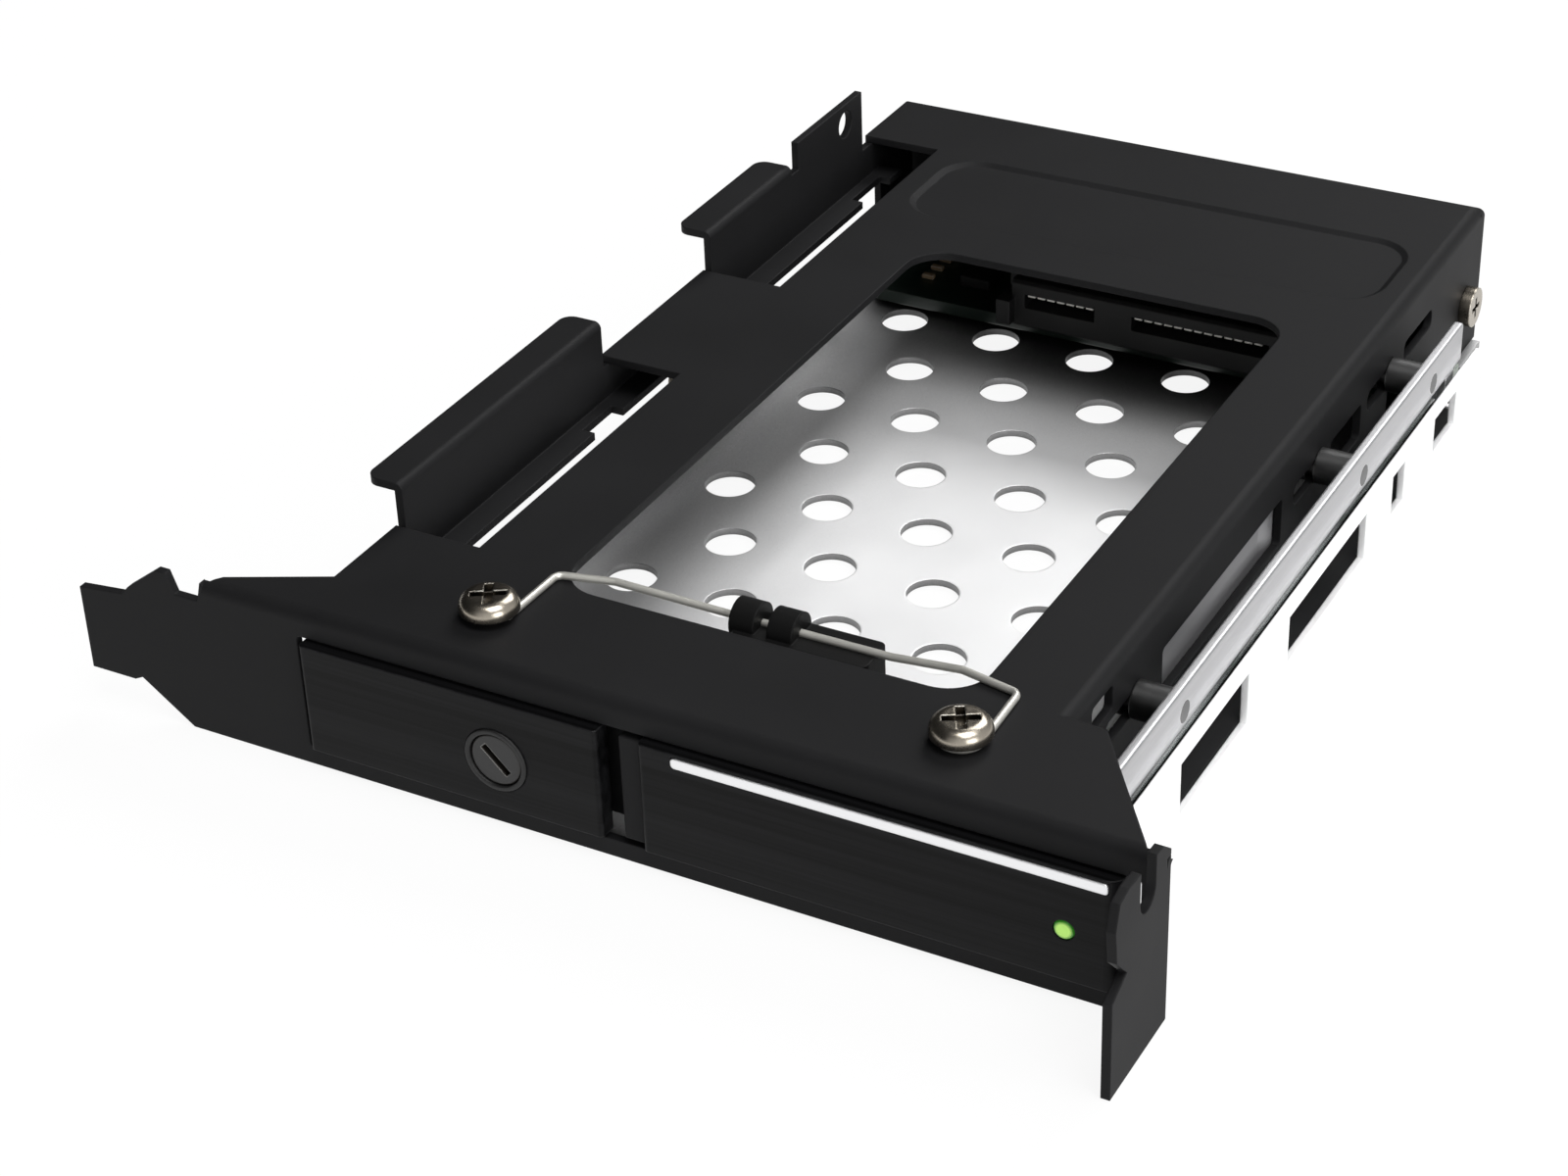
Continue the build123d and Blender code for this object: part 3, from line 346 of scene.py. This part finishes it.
@dataclass(frozen=True)
class GrainedFinish(Finish):
    """Paint or moulded plastic with a fine pebbled texture."""

    grain_scale: float = 2200.0
    grain_depth: float = 0.00002
    tone: float = 0.25
    painted_shade: float = 0.0
    shade_reach: float = 0.021
    shade_gain: float = 1.35
    shade_top: float = 0.0014  # height above which no shade is painted
    shade_right: float = 0.0455  # side of the tray's right wall, where the painted shade ends
    shade_fade: float = 0.0004

    def build(self, effects: EffectLibrary) -> bpy.types.Material:
        """Builds the material.

        Args:
            effects: the shared node groups.

        Returns:
            The finished material.
        """
        material, tree, shader, edge = self.start(effects)
        grain = tree.add("Group", node_tree=effects.fine_grain())
        grain.inputs["Scale"].default_value = self.grain_scale
        low = tuple(c * (1 - self.tone) for c in self.colour)
        high = tuple(min(1.0, c * (1 + self.tone)) for c in self.colour)
        body = tree.mix(grain.outputs["Tone"], low, high)
        surface_tint = tree.mix(edge.outputs["Mask"], body, self.edge_colour)
        # Painted shade: darkens the floor's hollows and inner corners, low down and left of the
        # tray's right wall, for the shade under the margins.
        if self.painted_shade > 0:
            hollow = tree.add("Group", node_tree=effects.hollow_shade())
            hollow.inputs["Reach"].default_value = self.shade_reach
            hollow.inputs["Gain"].default_value = self.shade_gain
            geometry = tree.add("NewGeometry")
            split = tree.add("SeparateXYZ")
            tree.join(geometry.outputs["Position"], split.inputs[0])
            under = tree.math("SUBTRACT", self.shade_top, split.outputs["Z"])
            low = tree.math("MULTIPLY", under, self.painted_shade / self.shade_fade, clamp=True)
            beside = tree.math("SUBTRACT", self.shade_right, split.outputs["X"])
            inner = tree.math("MULTIPLY", beside, 1.0 / self.shade_fade, clamp=True)
            amount = tree.math("MULTIPLY", hollow.outputs["Mask"],
                               tree.math("MULTIPLY", low, inner), clamp=True)
            surface_tint = tree.mix(amount, surface_tint, MARGIN_SHADE)
        tree.join(surface_tint, shader.inputs["Base Color"])
        spread = tree.math("MULTIPLY", tree.math("SUBTRACT", grain.outputs["Tone"], 0.5),
                           self.gloss_swing)
        tree.join(tree.math("ADD", spread, self.roughness, clamp=True), shader.inputs["Roughness"])
        self.relief(tree, shader, grain.outputs["Height"], edge.outputs["Normal"],
                    self.grain_depth)
        return material


@dataclass(frozen=True)
class BrushedFinish(Finish):
    """Metal with straight or round brushing."""

    gloss_swing: float = 0.3
    relief_strength: float = 0.5
    grain: Grain = Grain.ALONG_X
    line_depth: float = 0.00001
    tone: float = 0.2
    painted_shade: float = 0.0
    contrast: float = 1.0

    def build(self, effects: EffectLibrary) -> bpy.types.Material:
        """Builds the material.

        Args:
            effects: the shared node groups.

        Returns:
            The finished material.
        """
        material, tree, shader, edge = self.start(effects)
        lines = tree.add("Group", node_tree=effects.brushing())
        for label, value in zip("XYZ", self.grain.value):
            lines.inputs[label].default_value = value
        low = tuple(c * (1 - self.tone) for c in self.colour)
        high = tuple(min(1.0, c * (1 + self.tone)) for c in self.colour)
        swing = tree.math("MULTIPLY", tree.math("SUBTRACT", lines.outputs["Tone"], 0.5),
                          self.contrast)
        body = tree.mix(tree.math("ADD", swing, 0.5, clamp=True), low, high)
        # On the bright metals and the lock, the pale edge colour is a painted highlight along the
        # edges.
        surface_tint = tree.mix(edge.outputs["Mask"], body, self.edge_colour)
        # Painted shade: darkens the recesses, such as the screws' cross and the lock's slot.
        if self.painted_shade > 0:
            hollow = tree.add("Group", node_tree=effects.hollow_shade())
            amount = tree.math("MULTIPLY", hollow.outputs["Mask"], self.painted_shade, clamp=True)
            surface_tint = tree.mix(amount, surface_tint, RECESS_SHADE)
        tree.join(surface_tint, shader.inputs["Base Color"])
        spread = tree.math("MULTIPLY", tree.math("SUBTRACT", lines.outputs["Tone"], 0.5),
                           self.gloss_swing)
        tree.join(tree.math("ADD", spread, self.roughness, clamp=True), shader.inputs["Roughness"])
        self.relief(tree, shader, lines.outputs["Height"], edge.outputs["Normal"],
                    self.line_depth)
        return material


@dataclass(frozen=True)
class LampFinish(Finish):
    """Tinted clear moulding with a soft glow."""

    relief_strength: float = 0.2
    grain_scale: float = 900.0
    grain_depth: float = 0.000005
    glow: float = 0.0
    clear: float = 0.0
    pale_share: float = 0.8
    rim_start: float = 0.3
    rim_gain: float = 0.0

    def build(self, effects: EffectLibrary) -> bpy.types.Material:
        """Builds the material.

        Args:
            effects: the shared node groups.

        Returns:
            The finished material.
        """
        material, tree, shader, edge = self.start(effects)
        grain = tree.add("Group", node_tree=effects.fine_grain())
        grain.inputs["Scale"].default_value = self.grain_scale
        low = tuple(c * self.pale_share for c in self.colour)
        body = tree.mix(grain.outputs["Tone"], low, self.colour)
        place = tree.add("TexCoord")
        middle = tree.add("VectorMath", operation="SUBTRACT")
        tree.join(place.outputs["Generated"], middle.inputs[0])
        middle.inputs[1].default_value = (0.5, 0.5, 0.5)
        flat = tree.add("VectorMath", operation="MULTIPLY")
        tree.join(middle.outputs[0], flat.inputs[0])
        flat.inputs[1].default_value = (1.0, 0.0, 1.0)
        span = tree.add("VectorMath", operation="LENGTH")
        tree.join(flat.outputs[0], span.inputs[0])
        outside = tree.math("SUBTRACT", span.outputs["Value"], self.rim_start)
        rim = tree.math("MULTIPLY", outside, self.rim_gain, clamp=True)
        body = tree.mix(rim, body, self.edge_colour)
        tree.join(body, shader.inputs["Base Color"])
        tree.join(body, shader.inputs["Emission Color"])
        shader.inputs["Emission Strength"].default_value = self.glow
        shader.inputs["Transmission Weight"].default_value = self.clear
        self.relief(tree, shader, grain.outputs["Height"], edge.outputs["Normal"],
                    self.grain_depth)
        return material


BLACK_PAINT = GrainedFinish("satin_black_paint", (0.0082, 0.0082, 0.0087), 0.58, specular=0.12,
                            edge_colour=(0.02, 0.02, 0.021), edge_gain=1.5, grain_depth=0.00001)
# The tray's floor gets painted shade under the margins and near its walls.
TRAY_STEEL = GrainedFinish("bright_tray_steel", (0.97, 0.97, 0.975), 0.45, metallic=0.6,
                           edge_colour=(0.95, 0.95, 0.95), edge_gain=3.0, grain_scale=1400.0,
                           grain_depth=0.000001, tone=0.04, painted_shade=1.0)
# In the metal and lock finishes below, a pale edge colour is a painted highlight along the edges.
RAIL_STEEL = BrushedFinish("bright_rail_steel", (0.44, 0.44, 0.45), 0.36, metallic=1.0,
                           edge_colour=(0.9, 0.9, 0.9), edge_gain=4.0, grain=Grain.ALONG_Y,
                           line_depth=0.000003, tone=0.22, contrast=2.5)
SPRING_STEEL = BrushedFinish("spring_steel", (0.4, 0.4, 0.41), 0.45, metallic=0.5,
                             edge_colour=(0.8, 0.8, 0.8), edge_gain=2.0, grain=Grain.ALONG_Y,
                             line_depth=0.000003)
WIRE_STEEL = BrushedFinish("drawn_wire", (0.56, 0.55, 0.51), 0.42, metallic=0.75,
                           edge_colour=(0.8, 0.8, 0.8), grain=Grain.ROUND, tone=0.08,
                           line_depth=0.000002)
PIN_STEEL = BrushedFinish("turned_steel", (0.5, 0.5, 0.51), 0.32, metallic=1.0,
                          edge_colour=(0.75, 0.75, 0.75), edge_gain=3.0, grain=Grain.ROUND,
                          line_depth=0.000002)
STUD_STEEL = BrushedFinish("dark_turned_steel", (0.1, 0.1, 0.1), 0.4, metallic=1.0,
                           edge_colour=(0.4, 0.4, 0.4), edge_gain=2.0, grain=Grain.ROUND,
                           line_depth=0.000002)
# The screws' recesses get painted shade.
SCREW_NICKEL = BrushedFinish("nickel_plate", (0.4, 0.36, 0.3), 0.26, metallic=1.0, painted_shade=0.9,
                             edge_colour=(0.75, 0.73, 0.68), edge_gain=2.0, grain=Grain.ROUND,
                             tone=0.1, line_depth=0.000002)
DOOR_BLACK = BrushedFinish("brushed_black_aluminium", (0.005, 0.005, 0.0055), 0.42,
                           specular=0.12, edge_colour=(0.03, 0.03, 0.032), edge_gain=2.0,
                           grain=Grain.ALONG_X, tone=0.9, contrast=4.0)
STRIP_ALUMINIUM = BrushedFinish("bare_aluminium", (0.9, 0.9, 0.91), 0.4, metallic=1.0,
                                edge_colour=(0.95, 0.95, 0.95), edge_gain=2.0, grain=Grain.ALONG_X,
                                line_depth=0.000003, tone=0.08)
# The lock's slot and hollows get painted shade.
LOCK_BLACK = BrushedFinish("black_plated_lock", (0.02, 0.02, 0.02), 0.35, metallic=0.3, painted_shade=0.8,
                           edge_colour=(0.35, 0.34, 0.32), edge_gain=2.5, grain=Grain.ROUND)
BOARD_GREEN = GrainedFinish("board_mask", (0.006, 0.013, 0.009), 0.35,
                            edge_colour=(0.05, 0.045, 0.03), edge_gain=1.0, grain_depth=0.000004)
BLACK_PLASTIC = GrainedFinish("moulded_black", (0.01, 0.01, 0.01), 0.45, specular=0.3,
                              edge_colour=(0.025, 0.025, 0.025), edge_gain=1.0,
                              grain_depth=0.000008)
PAD_RUBBER = GrainedFinish("pad_rubber", (0.004, 0.004, 0.004), 0.5, specular=0.12,
                           edge_colour=(0.012, 0.012, 0.012), edge_gain=1.0, grain_scale=1500.0)
CONTACT_METAL = BrushedFinish("plated_contact", (0.85, 0.84, 0.78), 0.5, metallic=0.2,
                              grain=Grain.ALONG_Y, tone=0.1)
CERAMIC_TAN = GrainedFinish("ceramic_part", (0.2, 0.14, 0.08), 0.5, edge_gain=1.0,
                            edge_colour=(0.5, 0.48, 0.45), grain_depth=0.000002)
LAMP_GREEN = LampFinish("green_lens", (0.42, 0.74, 0.14), 0.2, glow=0.5,
                        edge_colour=(0.02, 0.13, 0.01), rim_gain=7.0)
ROD_CLEAR = LampFinish("clear_rod", (0.85, 0.9, 0.9), 0.1, clear=0.85,
                       edge_colour=(0.9, 0.95, 0.95))
LAMP_BODY = LampFinish("lamp_body", (0.25, 0.3, 0.25), 0.25, clear=0.3)

NODE_FINISHES = {
    "chassis": BLACK_PAINT, "side_rail": BLACK_PAINT, "drive_tray": TRAY_STEEL,
    "guide_strip": SPRING_STEEL, "backplane_board": BOARD_GREEN, "drive_connector": BLACK_PLASTIC,
    "drive_contacts": CONTACT_METAL, "data_socket": BLACK_PLASTIC, "power_socket": BLACK_PLASTIC,
    "status_lamp": LAMP_BODY, "light_rod": ROD_CLEAR, "hinge_bracket": BLACK_PAINT,
    "hinge_pin": PIN_STEEL, "cover_screws": SCREW_NICKEL, "press_nuts": PIN_STEEL,
    "tray_screws": SCREW_NICKEL, "board_screws": SCREW_NICKEL, "hold_down_wire": WIRE_STEEL,
    "hold_down_pad": PAD_RUBBER, "door_front": DOOR_BLACK, "door_strip": STRIP_ALUMINIUM,
    "lamp_lens": LAMP_GREEN, "door_carrier": BLACK_PAINT, "link_pin": PIN_STEEL,
    "door_screws": SCREW_NICKEL, "latch_button": DOOR_BLACK, "latch_spring": WIRE_STEEL,
    "lock_sleeve": BLACK_PLASTIC, "lock_cylinder": LOCK_BLACK, "lock_cam": PIN_STEEL,
    "eject_slider": RAIL_STEEL, "slider_studs": STUD_STEEL,
}


@dataclass
class CadDresser:
    """Gives every CAD node its finish."""

    effects: EffectLibrary
    made: dict[str, bpy.types.Material] = field(default_factory=dict)

    def material(self, finish: Finish) -> bpy.types.Material:
        """Material of a finish, built the first time that it is asked for."""
        if finish.name not in self.made:
            self.made[finish.name] = finish.build(self.effects)
        return self.made[finish.name]

    def dress(self) -> None:
        """Puts the finishes on the nodes."""
        for name, node in frame["nodes"].items():
            material = self.material(NODE_FINISHES[name])
            node.data.materials.clear()
            node.data.materials.append(material)
            LOG.info("dressed %s with %s", name, material.name)


@dataclass
class Redrawn:
    """A CAD node drawn again with a small change, to stand in the node's place."""

    dresser: CadDresser
    node: str
    name: str
    weld: float = 1e-6
    sharp_angle: float = 30.0

    def start(self) -> bmesh.types.BMesh:
        """Copies the node's shape, in the frame that all pieces share.

        Returns:
            The copy, open for changes.
        """
        source = frame["nodes"][self.node]
        places = [source.matrix_world @ corner.co for corner in source.data.vertices]
        faces = [tuple(face.vertices) for face in source.data.polygons]
        data = bpy.data.meshes.new(self.name)
        data.from_pydata(places, [], faces)
        mesh = bmesh.new()
        mesh.from_mesh(data)
        bmesh.ops.remove_doubles(mesh, verts=mesh.verts, dist=self.weld)
        return mesh

    def end(self, mesh: bmesh.types.BMesh) -> bpy.types.Object:
        """Makes the piece and puts it in the node's place.

        Args:
            mesh: the changed copy.

        Returns:
            The piece.
        """
        data = bpy.data.meshes.new(self.name)
        mesh.to_mesh(data)
        mesh.free()
        data.shade_smooth()
        data.set_sharp_from_angle(angle=math.radians(self.sharp_angle))
        data.materials.append(self.dresser.material(NODE_FINISHES[self.node]))
        piece = bpy.data.objects.new(self.name, data)
        bpy.context.scene.collection.objects.link(piece)
        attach(piece, body_of(frame["nodes"][self.node])[0])
        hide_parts(self.node)
        LOG.info("redrew %s as %s", self.node, self.name)
        return piece

    def cut(self, place: Vector, away: Vector) -> bpy.types.Object:
        """Cuts off what lies beyond a plane, and closes the cut.

        Args:
            place: a point on the plane.
            away: the direction of what is cut off.

        Returns:
            The piece.
        """
        mesh = self.start()
        whole = list(mesh.verts) + list(mesh.edges) + list(mesh.faces)
        result = bmesh.ops.bisect_plane(mesh, geom=whole, plane_co=place, plane_no=away,
                                        clear_outer=True, dist=self.weld)
        rim = [item for item in result["geom_cut"] if isinstance(item, bmesh.types.BMEdge)]
        bmesh.ops.contextual_create(mesh, geom=rim)
        bmesh.ops.recalc_face_normals(mesh, faces=mesh.faces)
        return self.end(mesh)

    def lower(self, above: float, drop: float) -> bpy.types.Object:
        """Lowers the top of the piece.

        Args:
            above: height over which every corner moves.
            drop: how far they go down.

        Returns:
            The piece.
        """
        mesh = self.start()
        for corner in mesh.verts:
            if corner.co.z > above:
                corner.co.z -= drop
        return self.end(mesh)

    def squeeze(self, joint: str, travel: float) -> bpy.types.Object:
        """Draws the piece again unchanged, with a mesh of its own.

        Args:
            joint: not used.
            travel: not used.

        Returns:
            The piece.
        """
        piece = self.end(self.start())
        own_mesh(piece)
        return piece

    def widen(self, share: float) -> bpy.types.Object:
        """Widens each separate body of the node along X, about its own middle.

        Args:
            share: width over the width in the CAD model.

        Returns:
            The piece.
        """
        mesh = self.start()
        left = set(mesh.verts)
        while left:
            group, edge = set(), {left.pop()}
            while edge:
                corner = edge.pop()
                group.add(corner)
                edge.update(link.other_vert(corner) for link in corner.link_edges)
                edge -= group
            left -= group
            middle = (min(c.co.x for c in group) + max(c.co.x for c in group)) / 2
            for corner in group:
                corner.co.x = middle + (corner.co.x - middle) * share
        return self.end(mesh)


@dataclass
class RedrawnParts:
    """The four nodes that are drawn again, and how much each one changes."""

    dresser: CadDresser
    bracket_cut_place: tuple[float, float, float] = (57.66, -60.9, 0.0)
    bracket_cut_away: tuple[float, float, float] = (5.6, 3.9, 0.0)
    slider_above: float = 14.0
    slider_drop: float = 1.6
    contact_share: float = 1.6
    latch_travel: float = 1.8

    def build(self) -> None:
        """Redraws the bracket, the slider, the contacts and the spring."""
        self.redrawn("hinge_bracket", "hinge_bracket_cut").cut(
            Vector(self.bracket_cut_place) * MM, Vector(self.bracket_cut_away).normalized())
        self.redrawn("eject_slider", "eject_slider_bar").lower(
            self.slider_above * MM, self.slider_drop * MM)
        self.redrawn("drive_contacts", "drive_contact_blades").widen(self.contact_share)
        self.redrawn("latch_spring", "latch_coil").squeeze("latch_slide", self.latch_travel * MM)

    def redrawn(self, node: str, name: str) -> Redrawn:
        """A copy of a node, ready to change."""
        return Redrawn(self.dresser, node, name)


@dataclass
class BoardParts:
    """Chips, capacitors and resistors soldered to the backplane board."""

    dresser: CadDresser
    chip_sizes: tuple[tuple[float, float, float, float, float], ...] = (
        (8.0, 57.4, 5.0, 5.0, 1.2), (-14.5, 57.2, 4.0, 4.9, 1.4), (28.0, 57.6, 3.0, 3.0, 1.0),
        (38.0, 57.4, 5.2, 2.6, 1.7),
    )
    small_places: tuple[tuple[float, float], ...] = (
        (-21.0, 55.0), (-21.0, 57.5), (-21.0, 60.0), (-8.0, 55.2), (-8.0, 57.4), (-8.0, 59.6),
        (0.5, 55.0), (0.5, 57.0), (0.5, 59.0), (14.5, 55.2), (14.5, 57.2), (14.5, 59.2),
        (20.0, 55.5), (20.0, 58.0), (33.0, 55.5), (33.0, 58.5),
    )
    small_size: tuple[float, float, float] = (1.6, 0.8, 0.6)
    seat: float = 0.02
    edge_round: float = 0.08

    def build(self) -> None:
        """Builds the chips and the small parts on the board's upper face."""
        board_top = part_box("backplane_board")[1][2] / MM
        small = [(x, y, *self.small_size) for x, y in self.small_places]
        self.group("board_chips", list(self.chip_sizes), board_top, BLACK_PLASTIC)
        self.group("board_small_parts", small, board_top, CERAMIC_TAN)

    def group(self, name: str, boxes: list[tuple[float, float, float, float, float]],
              floor: float, finish: Finish) -> None:
        """Makes one piece of several low blocks with softened edges.

        Args:
            name: the piece's name.
            boxes: middle X and Y, length, width and height of each block, in millimetres.
            floor: height that they stand at, in millimetres.
            finish: the finish that they get.
        """
        mesh = bmesh.new()
        for x, y, length, width, height in boxes:
            middle = Vector((x, y, floor - self.seat + height / 2)) * MM
            size = Matrix.Diagonal((length * MM, width * MM, height * MM, 1.0))
            bmesh.ops.create_cube(mesh, size=1.0, matrix=Matrix.Translation(middle) @ size)
        bmesh.ops.bevel(mesh, geom=list(mesh.edges), offset=self.edge_round * MM, segments=2,
                        affect="EDGES")
        data = bpy.data.meshes.new(name)
        mesh.to_mesh(data)
        mesh.free()
        data.materials.append(self.dresser.material(finish))
        piece = bpy.data.objects.new(name, data)
        bpy.context.scene.collection.objects.link(piece)
        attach(piece, body_of(frame["nodes"]["backplane_board"])[0])
        LOG.info("built %s", name)


@dataclass
class Studio:
    """Floor, lamps, world and camera."""

    floor_size: float = 8.0
    floor_share: float = 0.9
    floor_drop: float = 0.0001
    floor_grey: Colour = (0.82, 0.82, 0.82)
    sky_side: Colour = (0.8, 0.8, 0.8)
    sky_top: Colour = (0.5, 0.5, 0.51)
    sky_dark: Colour = (0.02, 0.02, 0.02)
    sky_forward: float = -0.25
    sky_level: float = 0.34
    lamps: tuple[tuple[str, tuple[float, float, float], float, float], ...] = (
        ("key", (1.3, -0.7, 0.35), 0.8, 10.0), ("fill", (0.1, -1.5, 0.5), 1.2, 0.8),
        ("back", (0.12, 1.1, 1.08), 0.8, 12.0), ("top", (0.45, -0.2, 1.25), 0.8, 15.0),
    )
    sensor_width: float = 36.0
    clip_range: tuple[float, float] = (0.01, 50.0)
    lens: float = 74.784
    camera_place: tuple[float, float, float] = (0.1434725, -0.2725339, 0.1892763)
    camera_turn: tuple[float, float, float, float] = (0.850722, 0.4640725, 0.1332867, 0.2077099)

    def build(self) -> None:
        """Builds the stage, the lamps, the world and the camera."""
        self.floor()
        self.world()
        for name, place, size, power in self.lamps:
            self.lamp(name, place, size, power)
        self.camera()

    def floor(self) -> None:
        """Makes the floor, white to the camera and in reflections."""
        mesh = bpy.data.meshes.new("floor")
        half = self.floor_size / 2
        corners = [(-half, -half, 0), (half, -half, 0), (half, half, 0), (-half, half, 0)]
        mesh.from_pydata(corners, [], [(0, 1, 2, 3)])
        floor = bpy.data.objects.new("floor", mesh)
        floor.location.z = -self.floor_drop
        bpy.context.scene.collection.objects.link(floor)
        material = bpy.data.materials.new("pale_floor")
        material.use_nodes = True
        tree = Tree(material.node_tree)
        tree.tree.nodes.clear()
        plain = tree.add("BsdfDiffuse", in_Color=(*self.floor_grey, 1.0))
        white = tree.add("Emission", in_Color=(*WHITE, 1.0), in_Strength=1.0)
        path = tree.add("LightPath")
        seen = tree.math("ADD", path.outputs["Is Camera Ray"], path.outputs["Is Glossy Ray"])
        seen = tree.math("ADD", seen, path.outputs["Is Transmission Ray"], clamp=True)
        share = tree.math("MULTIPLY", seen, self.floor_share)
        blend = tree.add("MixShader")
        end = tree.add("OutputMaterial")
        tree.join(share, blend.inputs[0])
        tree.join(plain.outputs[0], blend.inputs[1])
        tree.join(white.outputs[0], blend.inputs[2])
        tree.join(blend.outputs[0], end.inputs["Surface"])
        mesh.materials.append(material)

    def world(self) -> None:
        """Makes the world: soft grey light from the front right, white to the camera."""
        world = bpy.data.worlds.new("studio")
        world.use_nodes = True
        bpy.context.scene.world = world
        tree = Tree(world.node_tree)
        tree.tree.nodes.clear()
        place = tree.add("TexCoord")
        split = tree.add("SeparateXYZ")
        tree.join(place.outputs["Generated"], split.inputs[0])
        height = tree.math("MULTIPLY", split.outputs["Z"], 1.0, clamp=True)
        lit = tree.mix(height, self.sky_side, self.sky_top)
        along = tree.math("MULTIPLY", split.outputs["Y"], self.sky_forward)
        across = tree.math("ADD", split.outputs["X"], along)
        side = tree.math("ADD", across, self.sky_level, clamp=True)
        sky = tree.mix(side, self.sky_dark, lit)
        path = tree.add("LightPath")
        colour = tree.mix(path.outputs["Is Camera Ray"], sky, WHITE)
        back = tree.add("Background", in_Strength=1.0)
        end = tree.add("OutputWorld")
        tree.join(colour, back.inputs["Color"])
        tree.join(back.outputs[0], end.inputs["Surface"])

    def lamp(self, name: str, place: tuple[float, float, float], size: float,
             power: float) -> None:
        """Adds a square soft lamp that faces the object.

        Args:
            name: the lamp's name.
            place: where it stands, in metres.
            size: its side, in metres.
            power: its power in watts.
        """
        data = bpy.data.lights.new(name, "AREA")
        data.size = size
        data.energy = power
        lamp = bpy.data.objects.new(name, data)
        lamp.location = place
        lamp.rotation_euler = (-Vector(place)).to_track_quat("-Z", "Y").to_euler()
        bpy.context.scene.collection.objects.link(lamp)

    def camera(self) -> None:
        """Sets the camera where the photograph was taken from."""
        data = bpy.data.cameras.new("photo_camera")
        data.lens = self.lens
        data.sensor_width = self.sensor_width
        data.clip_start, data.clip_end = self.clip_range
        camera = bpy.data.objects.new("photo_camera", data)
        camera.rotation_mode = "QUATERNION"
        camera.location = self.camera_place
        camera.rotation_quaternion = Quaternion(self.camera_turn)
        bpy.context.scene.collection.objects.link(camera)
        bpy.context.scene.camera = camera


def main() -> None:
    """Builds the looks in order."""
    logging.basicConfig(level=logging.INFO)
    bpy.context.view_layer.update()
    bpy.context.scene.view_settings.view_transform = "Standard"
    dresser = CadDresser(EffectLibrary())
    dresser.dress()
    BoardParts(dresser).build()
    RedrawnParts(dresser).build()
    Studio().build()


if __name__ == "__main__":
    main()
